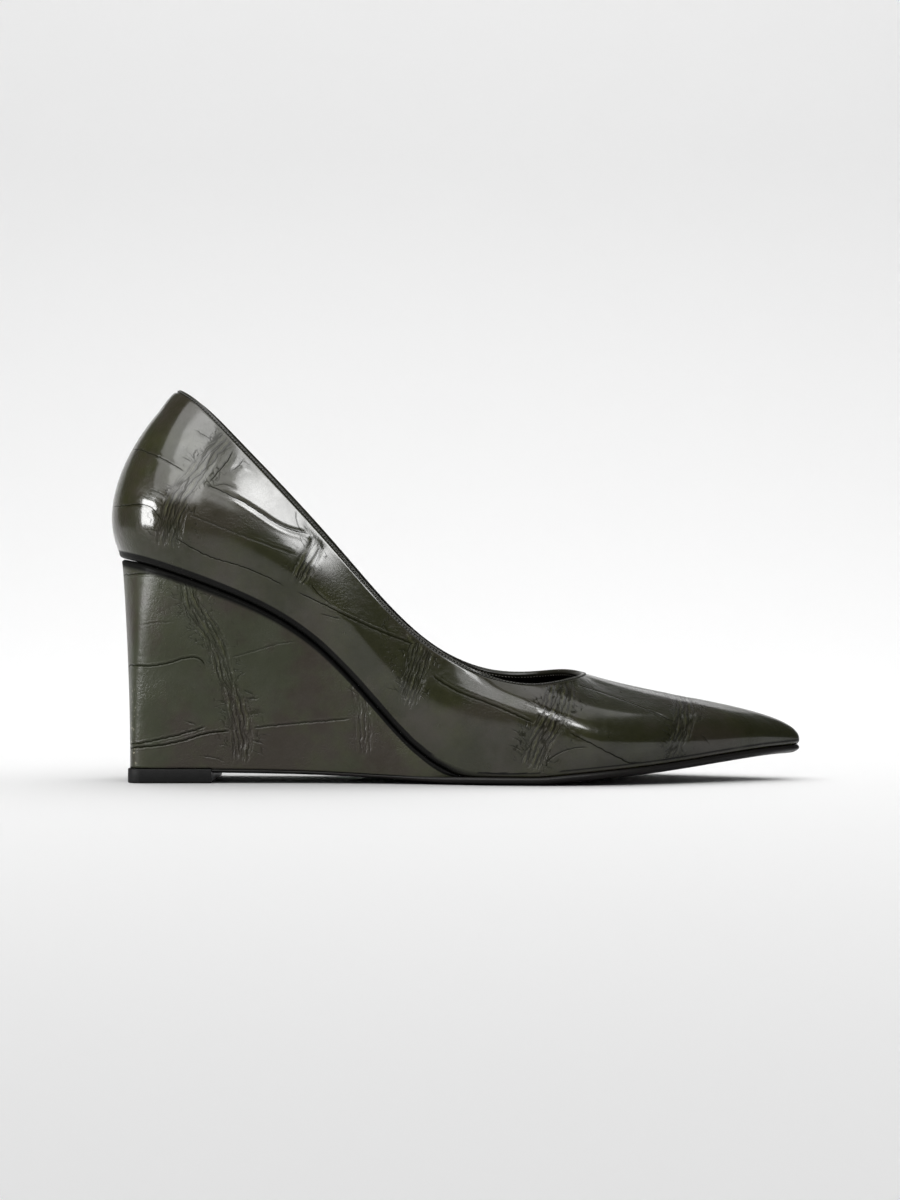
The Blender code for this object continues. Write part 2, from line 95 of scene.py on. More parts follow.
# The height of the bed that the upper lies on: along is a share of the length, heel a share of the seat's
# rise and spring a share of the toe spring.
BedRow = namedtuple("BedRow", "along heel spring")
BED = [
    BedRow(0.000, 1.010, 0.00),
    BedRow(0.055, 0.972, 0.00),
    BedRow(0.100, 0.928, 0.00),
    BedRow(0.160, 0.858, 0.00),
    BedRow(0.215, 0.782, 0.00),
    BedRow(0.260, 0.702, 0.00),
    BedRow(0.300, 0.608, 0.00),
    BedRow(0.343, 0.476, 0.00),
    BedRow(0.385, 0.327, 0.00),
    BedRow(0.414, 0.222, 0.00),
    BedRow(0.442, 0.134, 0.00),
    BedRow(0.477, 0.052, 0.00),
    BedRow(0.510, 0.006, 0.00),
    BedRow(0.530, 0.000, 0.00),
    BedRow(0.610, 0.000, 0.00),
    BedRow(0.660, 0.000, 0.10),
    BedRow(0.715, 0.000, 0.23),
    BedRow(0.772, 0.000, 0.37),
    BedRow(0.830, 0.000, 0.55),
    BedRow(0.890, 0.000, 0.75),
    BedRow(0.950, 0.000, 0.92),
    BedRow(1.000, 0.000, 1.00),
]

# The sole's underside: clearance is a share of the shank's clearance, and thick goes from the shank's
# thickness at 0 to the forefoot sole's at 1.
ShankRow = namedtuple("ShankRow", "along clearance thick")
SHANK = [
    ShankRow(0.000, 1.10, 0.0),
    ShankRow(0.150, 1.00, 0.0),
    ShankRow(0.270, 0.86, 0.0),
    ShankRow(0.345, 0.66, 0.0),
    ShankRow(0.420, 0.34, 0.2),
    ShankRow(0.480, 0.04, 0.8),
    ShankRow(0.500, 0.00, 1.0),
    ShankRow(1.000, 0.00, 1.0),
]

# Sections of the upper from the heel's centre line to the toe tip: feather point (x, out, in_), topline
# point (tx, tout, tin, hout, hin), the curve's handles (rise, flare, pull, cheek, drop) and the upturn of
# the topline.
Section = namedtuple("Section", "x out in_ tx tout tin hout hin rise flare pull cheek drop lip")
SECTIONS = [
    Section(0.0120, 0.000, 0.000, 0.1000, 0.000, 0.000, 1.000, 1.000, 0.26, 0.157, 0.84, 0.00, 0.26, 0.0),
    Section(0.0230, 0.225, 0.225, 0.1090, 0.210, 0.210, 0.993, 0.993, 0.26, 0.155, 0.79, 0.02, 0.26, 0.0),
    Section(0.0570, 0.408, 0.408, 0.1340, 0.360, 0.360, 0.960, 0.960, 0.26, 0.145, 0.63, 0.05, 0.27, 0.0),
    Section(0.1150, 0.496, 0.494, 0.1790, 0.462, 0.462, 0.858, 0.858, 0.27, 0.130, 0.50, 0.09, 0.28, 0.0),
    Section(0.1950, 0.490, 0.482, 0.2520, 0.505, 0.505, 0.706, 0.706, 0.28, 0.105, 0.50, 0.10, 0.28, 0.0),
    Section(0.2850, 0.470, 0.440, 0.3330, 0.535, 0.520, 0.620, 0.620, 0.30, 0.110, 0.50, 0.095, 0.28, 0.0),
    Section(0.3750, 0.450, 0.400, 0.4110, 0.565, 0.535, 0.692, 0.690, 0.34, 0.100, 0.50, 0.03, 0.30, 0.0),
    Section(0.4550, 0.462, 0.405, 0.4840, 0.585, 0.555, 0.862, 0.852, 0.40, 0.065, 0.50, 0.04, 0.26, 0.0),
    Section(0.5350, 0.484, 0.442, 0.5490, 0.550, 0.530, 0.930, 0.958, 0.46, 0.020, 0.50, 0.07, 0.18, 0.0),
    Section(0.6150, 0.494, 0.488, 0.6060, 0.479, 0.470, 0.953, 1.036, 0.50, 0.010, 0.50, 0.11, 0.17, 0.2),
    Section(0.6900, 0.480, 0.511, 0.6480, 0.348, 0.360, 0.970, 1.050, 0.42, 0.080, 0.45, 0.13, 0.24, 0.6),
    Section(0.7700, 0.405, 0.460, 0.6710, 0.205, 0.225, 0.986, 1.036, 0.41, 0.120, 0.43, 0.07, 0.22, 0.9),
    Section(0.8600, 0.272, 0.335, 0.6805, 0.100, 0.125, 0.994, 1.016, 0.40, 0.085, 0.43, 0.02, 0.20, 1.0),
    Section(0.9400, 0.123, 0.192, 0.6835, 0.040, 0.070, 0.999, 1.004, 0.36, 0.050, 0.48, 0.00, 0.20, 1.0),
    Section(0.9820, 0.030, 0.106, 0.6842, 0.004, 0.036, 1.000, 1.000, 0.31, 0.025, 0.50, 0.00, 0.21, 1.0),
    Section(1.0000, -0.040, 0.040, 0.6845, -0.015, 0.015, 1.000, 1.000, 0.29, 0.009, 0.52, 0.00, 0.21, 1.0),
]
LIP_SHARPNESS = 8

# The foot of the wedge: x is a share of the way from the back of the top piece to the wedge's tip, and out
# and in_ are shares of the top piece's width.
FootRow = namedtuple("FootRow", "x out in_")
WEDGE_FOOT = [
    FootRow(0.000, 0.000, 0.000),
    FootRow(0.001, 0.180, 0.180),
    FootRow(0.005, 0.350, 0.350),
    FootRow(0.020, 0.457, 0.457),
    FootRow(0.060, 0.493, 0.493),
    FootRow(0.150, 0.497, 0.497),
    FootRow(0.290, 0.497, 0.495),
    FootRow(0.480, 0.500, 0.475),
    FootRow(0.680, 0.535, 0.465),
    FootRow(0.860, 0.600, 0.505),
    FootRow(1.000, 0.670, 0.570),
]
WEDGE_BOW = 0.75
EDGE_SHARE = 0.4
JOIN_FROM = 0.75
JOIN_GAP = 1.0 * MM
BLEND_FROM, BLEND_TO = 0.30, 0.62
TOE_FROM = 0.65
TOE_KEEP = 0.35
TOE_SLANT = 1.08

# Creases of the embossed hide as it shows from the outer side: places are millimetres from the heel's
# rearmost point and over the floor. A crease on layer 1 runs close to one on layer 0.
Crease = namedtuple("Crease", "depth layer places")
UPPER_CREASES = [
    Crease(0.9, 0, [(1, 118), (11, 117), (20, 113.5), (29, 108.5)]),
    Crease(1.0, 0, [(35.5, 104.5), (52.5, 96), (64, 89), (73, 87)]),
    Crease(0.9, 0, [(1, 97), (9, 97.2), (16.5, 96.5), (21, 91)]),
    Crease(0.5, 0, [(30, 94), (47.5, 87), (68, 79.5)]),
    Crease(1.0, 0, [(25, 86), (36.5, 79.5), (49, 75.5), (64, 68.5)]),
    Crease(1.0, 0, [(67.5, 67), (78, 62), (96, 53.5), (109.5, 48.3)]),
    Crease(0.8, 1, [(72, 70.5), (76, 65.5), (81, 61.5)]),
    Crease(0.7, 1, [(75, 59.7), (79.5, 58.2), (84, 57.4)]),
    Crease(1.0, 0, [(114.5, 38.5), (117.5, 36), (134, 28.5), (150.5, 21.3)]),
    Crease(1.0, 0, [(161, 19), (174.5, 12), (188, 5)]),
    Crease(0.8, 1, [(169, 13.5), (159.5, 12), (153, 7.5)]),
    Crease(0.9, 0, [(165, 34.5), (180, 29.5), (196, 23), (200, 21)]),
    Crease(0.7, 0, [(207.5, 17.5), (210, 15.5), (212, 13)]),
    Crease(0.6, 0, [(194, 20), (196, 18.5), (198.5, 16.5)]),
    Crease(0.6, 0, [(141.5, 20), (145, 18), (148, 15.5)]),
    Crease(0.7, 0, [(140.5, 14.3), (143.5, 13.3), (147, 11.5)]),
    Crease(0.7, 1, [(31, 123.9), (33.4, 122.5), (38.7, 119.3)]),
    Crease(0.6, 1, [(32.7, 117), (34, 116.2), (35.8, 114.6)]),
    Crease(0.7, 1, [(26.8, 114.1), (29.5, 113), (32, 111.2)]),
    Crease(0.6, 1, [(41, 124), (42, 123.2), (43.3, 122)]),
    Crease(0.6, 1, [(20.8, 104.8), (23, 104), (25.5, 102.3)]),
    Crease(0.6, 0, [(15.5, 102.6), (19, 101.6), (23.4, 98.4)]),
    Crease(0.9, 1, [(45.3, 117), (43.9, 113.4), (41, 109.5), (36.6, 104)]),
    Crease(0.8, 0, [(49.5, 115), (47.5, 111), (44, 108.6)]),
    Crease(0.8, 1, [(47.6, 113.4), (50.2, 111.7), (53.7, 110.2)]),
    Crease(0.7, 1, [(38, 102.8), (41.3, 104.2), (46.8, 102.6)]),
    Crease(0.6, 1, [(142, 17), (145, 15.6), (147.5, 13.6)]),
    Crease(0.6, 1, [(145.8, 30.6), (148.5, 28.8), (151, 27)]),
    Crease(0.6, 1, [(193.2, 16.5), (195, 15.2), (197, 13.5)]),
    Crease(0.5, 1, [(238, 13.6), (238.3, 12.3), (238.6, 11.2)]),
    Crease(0.6, 0, [(240.2, 14.2), (240.6, 12.6), (241, 11.4)]),
    Crease(0.5, 1, [(242.3, 13.8), (242.8, 12.6), (243.2, 11.6)]),
]
WEDGE_CREASES = [
    Crease(0.9, 0, [(4, 72.8), (8, 73), (14, 73.2), (22, 73)]),
    Crease(1.0, 0, [(5, 40.7), (9, 41), (21, 41.6), (34.5, 42.7), (35.8, 40.5)]),
    Crease(0.4, 0, [(44, 44), (52, 46), (63, 49), (68, 49.3)]),
    Crease(1.0, 0, [(7, 13.6), (13, 14), (21, 15.7), (28.5, 17.5), (36, 20)]),
    Crease(1.2, 1, [(7, 12), (13.5, 12.6), (28, 15), (36, 17.4), (44.5, 18.3)]),
    Crease(0.8, 0, [(51.5, 19.2), (58, 20), (76, 21.7), (87, 22.7)]),
    Crease(0.7, 1, [(27.8, 22), (30.5, 21.2), (33.4, 19.6)]),
    Crease(0.7, 0, [(49, 29.8), (52, 29.5), (55, 29.8)]),
    Crease(0.7, 0, [(51, 15), (54, 14.4), (57, 13.3)]),
    Crease(0.6, 1, [(48, 33.5), (51, 31.5), (54, 30.5)]),
    Crease(0.5, 0, [(33, 9.6), (38, 9), (43, 7.6)]),
    Crease(0.4, 0, [(83.5, 34.3), (88, 31.6), (93, 29)]),
    Crease(0.3, 0, [(12, 55), (18, 56), (26, 56.3)]),
]

# Bands of crinkled strands between the tiles of the hide: half is half their width in millimetres
Band = namedtuple("Band", "strength places half")
UPPER_BANDS = [
    Band(
        0.85,
        [(46.5, 124), (39, 116), (33, 108), (27, 100), (24, 92), (22.5, 81)],
        [3.2, 3.4, 3.6, 4.0, 4.8, 4.4],
    ),
    Band(0.85, [(78, 90), (74.5, 83), (71, 76), (67, 68)], [3.6, 3.3, 3.2, 2.4]),
    Band(0.75, [(113, 52), (110.5, 45), (108, 36), (105, 26)], [4.4, 4.4, 4.0, 3.0]),
    Band(1.00, [(160, 36), (158, 27.5), (154, 19), (150.5, 12), (148, 5)], [5.8, 5.4, 4.6, 4.0, 3.0]),
    Band(0.85, [(203.5, 31), (203, 24), (201, 17), (195, 6.5)], [4.2, 3.8, 3.0, 2.4]),
]
WEDGE_BANDS = [
    Band(
        0.60,
        [(28.5, 71), (33, 59), (38, 52), (41, 43), (45.5, 30), (48, 19), (48, 6)],
        [3, 4, 3.6, 3.2, 3.4, 3.8, 3.2],
    ),
    Band(0.25, [(89, 32), (91, 20), (91, 8)], [3, 3.2, 3]),
]
INNER_SHIFT = 4 * MM  # how far forward the inner side's creases lie, halfway along the stretch they are on
INNER_STRETCH = 0.6
LAY_STEP = 0.3 * MM
LAY_NEAR = 6  # points of the mesh that a place of a crease is drawn to
LAY_BLUR = 0.1 * MM
MIDDLE_OVERLAP = 0.2 * MM  # how far past the middle a side's creases may lie
CREASE_REACH = 4 * MM
CREASE_END = 3 * MM
BAND_REACH = 15 * MM
BAND_END = 6 * MM
BAND_OFFSET = 100  # millimetres that keep one band's pattern apart from the next one's
FAR = 9.0  # millimetres from a crease, where there is none

RIDGE_SHARE, RIDGE_AWAY, RIDGE_NARROW = 0.4, 2.1, 1.6  # the soft ridge beside a trough
BAND_CORE, BAND_RIM = 0.55, 1.25  # shares of a band's half width where its strands start to fade and end

# The topline's row of stitches lies in a shallow, dark groove
SEAM_DEPTH = 0.16 * MM
SEAM_WIDTH = 0.45 * MM
SEAM_INK_WIDTH = 0.5 * MM
SEAM_INK = 0.95

# Stitches: each is thickest and highest in its middle, in shares of the thread's radius
STITCH_REACH = 0.3 * MM  # rings beside the seam, for the wall's direction
STITCH_AHEAD = 0.1 * MM
STITCH_LIFT, STITCH_SINK = 0.75, 0.45
STITCH_THIN, STITCH_SWELL = 0.35, 0.65
STITCH_FLAT = 1.15
STITCH_TAPER = 0.92
INSIDE_LIFT = 0.1 * MM
INSIDE_DROP = 0.3 * MM

# Marks fade out towards the edges of the leather, from the first distance to the second
UPPER_FADE = 2.2 * MM, 5.0 * MM
BAND_FADE = 1.9 * MM, 3.2 * MM
WEDGE_FADE = 0.2 * MM, 2.0 * MM

# Painted shade, black as the edges, where upper and wedge meet: how wide in millimetres, and shares of the
# length
BLACK_WIDTH, BLACK_LESS_ARCH, BLACK_LESS_TIP = 1.9, 1.0, 0.8
BLACK_ARCH = 0.05, 0.40
BLACK_TIP = 0.48, 0.58

# The soft fold of the collar's edge at the back of the heel
HEEL_FOLD_HEIGHT = 0.55 * MM
HEEL_FOLD_FULL, HEEL_FOLD_END = 4 * MM, 14 * MM  # from the heel's back, along the edge
HEEL_FOLD_LOW, HEEL_FOLD_LOWEST = 4 * MM, 12 * MM  # below the edge
HEEL_FOLD_TOP, HEEL_FOLD_TOP_FULL = 1.5 * MM, 2.6 * MM
HEEL_FOLD_BACK, HEEL_FOLD_SLANT, HEEL_FOLD_FRONT = 0.08, 0.6, 0.2  # along, as shares of the length

# Where the wedge's cover is folded at its back corners, light specks are painted on its edges: scuffs, and
# also painted glints where light catches the corners
SCUFF_GLINT_BACK = 1.0 * MM
SCUFF_GLINT_WIDTH = 2.0 * MM
SCUFF_GLINT_SIDE, SCUFF_GLINT_SIDE_FULL = 12 * MM, 18 * MM
SCUFF_GLINT_HIGH, SCUFF_GLINT_HIGHEST = 20 * MM, 42 * MM

# Noise in the finishes: scale is cells a metre
Pattern = namedtuple("Pattern", "scale detail roughness", defaults=(3.0, 0.5))
LINE_WANDER = Pattern(420.0, 2.0)
BAND_BEND = Pattern(190.0, 2.0)
TWIG_PATCHES = Pattern(170.0, 1.0)
PORE_PATCHES = Pattern(60.0, 2.0)
FINE_SWELL = Pattern(330.0, 3.0)
WIDE_SWELL = Pattern(95.0, 2.0)
LIGHT_CLOUDS = Pattern(32.0, 5.0, 0.65)
BROWN_CLOUDS = Pattern(35.0, 5.0, 0.65)
SCUFF_GLINT_SPECKS = Pattern(700.0, 2.0)
SHEEN_PATCHES = Pattern(140.0, 3.0)
POLISH_PATCHES = Pattern(28.0, 6.0, 0.7)
PAPER_CLOUDS = Pattern(3.0, 2.0)
PORE_SCALE = 900.0
THREAD_SCALE = 1400.0

# Soft steps in the finishes: first below low, last above high. Distances from a crease are in millimetres
# and distances inside a cell of a net are shares of the cell.
Ramp = namedtuple("Ramp", "low high first last", defaults=(0.0, 1.0))
LINE_GROOVE = Ramp(0.0, 0.42, 1.0, 0.0)
LINE_RIDGE = Ramp(0.0, 0.42, 0.35, 0.0)
# This step and the other DARK steps lay painted shade in the grooves of creases, bands and twigs
LINE_DARK = Ramp(0.05, 0.3, 1.0, 0.0)
NET_HEIGHT = Ramp(0.0, 0.4, -1.0, 0.4)
NET_DARK = Ramp(0.02, 0.12, 0.6, 0.0)
# The crests of the bands' strands get a painted highlight
NET_CREST_HIGHLIGHT = Ramp(0.2, 0.42)
TWIG_SOME = Ramp(0.44, 0.56)
TWIG_GROOVE = Ramp(0.0, 0.12, -1.0, 0.0)
TWIG_DARK = Ramp(0.02, 0.07, 0.8, 0.0)
PORE_GROOVE = Ramp(0.0, 0.25, -1.0, 0.0)
PORE_SOME = Ramp(0.42, 0.7, 0.15, 1.0)
LIGHT_SOME = Ramp(0.42, 0.68)
SCUFF_GLINT_SOME = Ramp(0.62, 0.7, 0.0, 0.8)
GRAIN_GROOVE = Ramp(0.0, 0.3, -1.0, 0.0)
RIDGE_PLACE = 0.7  # millimetres from a crease's line to the ridge beside it
LINE_SWAY, BAND_SWAY = 0.6, 2.4  # millimetres that noise moves lines and strands, from side to side
SWELL_SHARE = 2.4  # fine swell for one part of wide swell
PORE_SHARE = 0.6
# The second and third shares mix in the painted highlight on the bands' crests and the painted shade in the
# grooves
LIGHT_SHARE, CREST_HIGHLIGHT_SHARE, DARK_SHARE, INK_DULL = 0.35, 0.6, 0.9, 0.8
SHEEN_RANGE, BAND_ROUGH, INK_ROUGH = 0.12, 0.08, 0.35  # what they add to the roughness

# Nets of strands in a band: spacing across and reach along, in millimetres
Net = namedtuple("Net", "spacing reach share")
WIDE_NET = Net(1.7, 15.0, 1.0)
FINE_NET = Net(0.85, 6.0, 0.4)
TWIG_NET = Net(6.5, 1.9, 1.0)
TWIG_SLANT = 0.22

HideFinish = namedtuple("HideFinish", "rough gloss coat coat_rough mottled")
UPPER_FINISH = HideFinish(0.30, 0.15, 0.95, 0.12, 0.30)
WEDGE_FINISH = HideFinish(0.38, 0.25, 0.12, 0.22, 0.45)

# Matt black finishes: lighter is how much lighter the grain's clouds are, scale is cells a metre
GrainFinish = namedtuple("GrainFinish", "lighter rough scale depth")
LINING_FINISH = GrainFinish(0.6, 0.50, 1500.0, 0.030 * MM)
SOCK_FINISH = GrainFinish(0.8, 0.46, 1100.0, 0.050 * MM)
SOLE_FINISH = GrainFinish(1.2, 0.36, 1700.0, 0.025 * MM)
RUBBER_FINISH = GrainFinish(1.0, 0.48, 2200.0, 0.040 * MM)

# The sock's edge from below: inward from the insole's edge, and its lift over the insole's bottom as a
# share of the thickness with a drop under that
SockRow = namedtuple("SockRow", "inward level drop")
SOCK_EDGE = [
    SockRow(0.00 * MM, 0, 0.0 * MM),
    SockRow(0.00 * MM, 1, 0.6 * MM),
    SockRow(0.08 * MM, 1, 0.3 * MM),
    SockRow(0.25 * MM, 1, 0.1 * MM),
    SockRow(0.60 * MM, 1, 0.0 * MM),
    SockRow(1.60 * MM, 1, 0.0 * MM),
    SockRow(2.00 * MM, 1, 0.2 * MM),
    SockRow(2.40 * MM, 1, 0.0 * MM),
]

# The sole's edge from the tread up: inset and lift in millimetres, level a share of its thickness
SoleRow = namedtuple("SoleRow", "inset level lift")
SOLE_EDGE = [
    SoleRow(3.5, 0.0, 0.00),
    SoleRow(2.4, 0.0, 0.12),
    SoleRow(1.5, 0.0, 0.38),
    SoleRow(0.8, 0.0, 0.75),
    SoleRow(0.3, 0.0, 1.15),
    SoleRow(0.05, 0.6, 0.0),
    SoleRow(0.0, 0.7, 0.0),
    SoleRow(0.0, 0.82, 0.0),
    SoleRow(0.1, 0.94, 0.0),
    SoleRow(0.3, 1.0, 0.10),
    SoleRow(0.5, 1.0, 0.45),
    SoleRow(1.0, 1.0, 0.34),
    SoleRow(1.8, 1.0, 0.28),
]

# The sweep's profile, in metres
SWEEP_FRONT, SWEEP_BACK, SWEEP_WIDTH, SWEEP_HEIGHT, SWEEP_RADIUS = -2.2, 1.1, 3.2, 0.66, 0.4
SWEEP_DROP = 0.05 * MM
SWEEP_COUNT = 16

# Lights over the floor and the shoe, in metres
FlatLight = namedtuple("FlatLight", "name power place aim width depth on_floor")
FLAT_LIGHTS = [
    FlatLight("floor_overhead", "overhead", (0.1, 0.5, 1.3), (0.1, 0.5, 0), 3.0, 2.4, True),
    FlatLight("floor_front", "floor_front", (0.1, -1.3, 1.6), (0.1, -0.8, 0), 2.4, 1.0, True),
    FlatLight("backdrop_light", "backdrop", (0.1, 0.35, 1.2), (0.1, 1.1, 0.2), 1.8, 0.3, True),
    FlatLight("top_softbox", "top", (0.1, 0.08, 1.1), (0.1, 0.08, 0), 1.0, 1.05, False),
]

# Softboxes that face the heel: turn is in degrees towards the toe from straight in front
Softbox = namedtuple("Softbox", "name power turn elevation distance width depth")
LIT_PLACE = (0.03, 0, 0.09)
SOFTBOXES = [
    Softbox("front_softbox", "front", -22, 44, 0.92, 1.14, 0.66),
    Softbox("front_back", "front_back", -23, 35, 0.90, 0.46, 0.46),
    Softbox("front_toe", "front_toe", 22, 33, 0.90, 0.16, 0.30),
    Softbox("front_core", "front_core", 21, 29, 0.88, 0.15, 0.11),
    Softbox("side_softbox", "side", -60, 9, 0.55, 0.17, 0.19),
]
CAMERA_PLACE = (0.09815, -0.975, 0.064)
SENSOR_WIDTH = 36


def srgb(red, green, blue):
    """A colour as it shows on a screen, from 0 to 255, as linear values."""
    share = np.array([red, green, blue]) / 255
    linear = np.where(share > 0.04045, ((share + 0.055) / 1.055) ** 2.4, share / 12.92)
    return tuple(float(c) for c in linear)


def length_size(name, description, default):
    return bpy.props.FloatProperty(
        name=name, description=description, default=default, min=0, unit="LENGTH", precision=4
    )


def colour(name, description, default):
    return bpy.props.FloatVectorProperty(
        name=name, description=description, default=default, size=3, min=0, max=1, subtype="COLOR"
    )


def power(name, description, default):
    return bpy.props.FloatProperty(
        name=name, description=description, default=default, min=0, unit="POWER"
    )


class PumpSizes(bpy.types.PropertyGroup):
    length: length_size("Length", "Rearmost point of the heel to the toe tip", 246 * MM)
    seat_width: length_size("Seat width", "Feather edge to feather edge at the heel seat", 51 * MM)
    ball_width: length_size("Ball width", "Feather edge to feather edge at the ball", 73 * MM)
    seat_rise: length_size("Seat rise", "Heel seat above the ball", 76.3 * MM)
    toe_spring: length_size("Toe spring", "Toe tip above the ball", 9.5 * MM)
    collar_width: length_size("Collar width", "Opening across the quarters", 44 * MM)
    opening_width: length_size("Opening width", "Opening across the front", 56 * MM)
    collar_depth: length_size("Collar depth", "Top of the heel above the seat", 65.6 * MM)
    throat_depth: length_size("Throat depth", "Throat above the bed of the forefoot", 33.9 * MM)
    lip: length_size("Lip", "Upturn of the throat's edge", 2.3 * MM)
    wall: length_size("Wall", "Leather with its lining", 1.8 * MM)
    feather_radius: length_size("Feather radius", "Rounding where the upper turns under", 1.8 * MM)
    margin: length_size("Margin", "Lasted margin under the insole", 8 * MM)
    insole_thickness: length_size("Insole thickness", "Insole with its sock", 2.0 * MM)
    insole_inset: length_size("Insole inset", "Insole inside the feather edge", 3.4 * MM)
    sole_thickness: length_size("Sole thickness", "Sole under the forefoot", 2.4 * MM)
    shank_thickness: length_size("Shank thickness", "Sole under the wedge", 1.3 * MM)
    shank_clearance: length_size("Shank clearance", "Floor to sole, behind the ball", 3.5 * MM)
    top_piece_length: length_size("Top piece length", "Top piece along the shoe", 29.7 * MM)
    top_piece_width: length_size("Top piece width", "Top piece across the shoe", 44 * MM)
    top_piece_height: length_size("Top piece height", "Top piece from the floor up", 5 * MM)
    top_piece_back: length_size("Top piece back", "From the heel's rearmost point", TOP_PIECE_BACK)
    top_piece_corner: length_size("Top piece corner", "Radius of its back corners", 5 * MM)
    wedge_inset: length_size("Wedge inset", "Wedge's top edge inside the feather edge", 1.0 * MM)
    wedge_edge: length_size("Wedge edge", "Rounding of the wedge's top edge", 1.2 * MM)
    gap: length_size("Gap", "Between glued pieces", 0.3 * MM)


class HideSizes(bpy.types.PropertyGroup):
    trough: length_size("Trough", "Depth of a crease's soft trough", 0.07 * MM)
    trough_width: length_size("Trough width", "Half the width of a crease's trough", 0.8 * MM)
    groove: length_size("Groove", "Depth of the fine line in a crease", 0.24 * MM)
    strand: length_size("Strand", "Height of the soft strands in a band", 0.06 * MM)
    strand_spacing: length_size("Strand spacing", "Soft strand to soft strand", 2.5 * MM)
    band_sink: length_size("Band sink", "How far a band lies under the tiles", 0.12 * MM)
    crinkle: length_size("Crinkle", "Depth of the fine crinkles in a band", 0.62 * MM)
    twig: length_size("Twig", "Depth of the fine lines beside a band", 0.2 * MM)
    grain: length_size("Grain", "Depth of the hide's fine grain", 0.08 * MM)
    stitch_drop: length_size("Stitch drop", "Topline to its row of stitches", 0.95 * MM)
    stitch_pitch: length_size("Stitch pitch", "Stitch to stitch", 1.2 * MM)
    stitch_length: length_size("Stitch length", "One stitch", 0.85 * MM)
    thread_radius: length_size("Thread radius", "Half the thread's thickness", 0.2 * MM)


class PumpColours(bpy.types.PropertyGroup):
    leather: colour("Leather", "Olive leather of the upper", srgb(23, 24, 7))
    # Lighter clouds at random, and also the colour of the painted highlight on the bands' crests
    leather_rubbed_and_highlight: colour("Leather, light", "Rubbed places of the upper", srgb(48, 49, 24))
    # Painted shade at the bottom of the creases and in the grooves between strands
    leather_groove_shade: colour("Leather, deep", "Bottom of the creases", srgb(12, 13, 5))
    leather_brown: colour("Leather, brown", "Browner clouds of the wedge", srgb(38, 33, 28))
    # Light specks at the wedge's back corners: scuffs, and also painted glints where light catches the
    # corners
    scuffs_and_glints: colour("Leather, worn", "Specks where the wedge's corners are rubbed", srgb(150, 146, 128))
    wedge: colour("Wedge", "Leather of the wedge", srgb(40, 42, 31))
    # Also the colour of the painted shade where the upper sits on the wedge
    edge: colour("Edge", "Blackened edges", srgb(9, 9, 8))
    lining: colour("Lining", "Black lining and sock", srgb(24, 22, 20))
    thread: colour("Thread", "Stitches along the topline", srgb(36, 36, 28))
    lining_thread: colour("Lining thread", "Stitches inside the topline", srgb(96, 93, 86))
    sole: colour("Sole", "Black sole", srgb(16, 15, 14))
    rubber: colour("Rubber", "Black top piece", srgb(8, 8, 8))
    floor: colour("Floor", "Floor and backdrop", srgb(244, 244, 244))


class StudioSettings(bpy.types.PropertyGroup):
    overhead: power("Overhead", "Large light over the floor", 35)
    floor_front: power("Floor, front", "Weaker light on the floor in front of the shoe", 7)
    top: power("Top", "Dim light over the shoe alone", 4.5)
    front: power("Front", "Wide softbox over the camera", 7.2)
    front_back: power("Front, back", "Brighter part of the wide softbox towards the heel", 3.0)
    front_toe: power("Front, toe", "Brighter part of the wide softbox towards the toe", 1.35)
    front_core: power("Front, core", "Bright core of the wide softbox", 0.75)
    side: power("Side", "Soft light beside the heel", 3)
    backdrop: power("Backdrop", "Light on the backdrop", 1.3)
    room: colour("Room", "Dim room round the studio", (0.105, 0.105, 0.105))
    lens: bpy.props.FloatProperty(name="Lens", description="Focal length", default=81.9, unit="CAMERA")


def column_curve(rows, column):
    """A function of along that runs smoothly through a table's column and keeps flat stretches flat."""
    xs = np.array([row.along for row in rows])
    ys = np.array([getattr(row, column) for row in rows])
    steps = np.diff(ys) / np.diff(xs)
    slopes = np.zeros(len(xs))
    before, after = steps[:-1], steps[1:]
    same_way = before * after > 0
    slopes[1:-1][same_way] = 2 * (before * after)[same_way] / (before + after)[same_way]
    slopes[0], slopes[-1] = steps[0], steps[-1]

    def value(x):
        i = np.clip(np.searchsorted(xs, x) - 1, 0, len(xs) - 2)
        width = xs[i + 1] - xs[i]
        t = (x - xs[i]) / width
        lift = ys[i] * (2 * t**3 - 3 * t**2 + 1) + ys[i + 1] * (3 * t**2 - 2 * t**3)
        return lift + width * (slopes[i] * (t**3 - 2 * t**2 + t) + slopes[i + 1] * (t**3 - t**2))

    return value


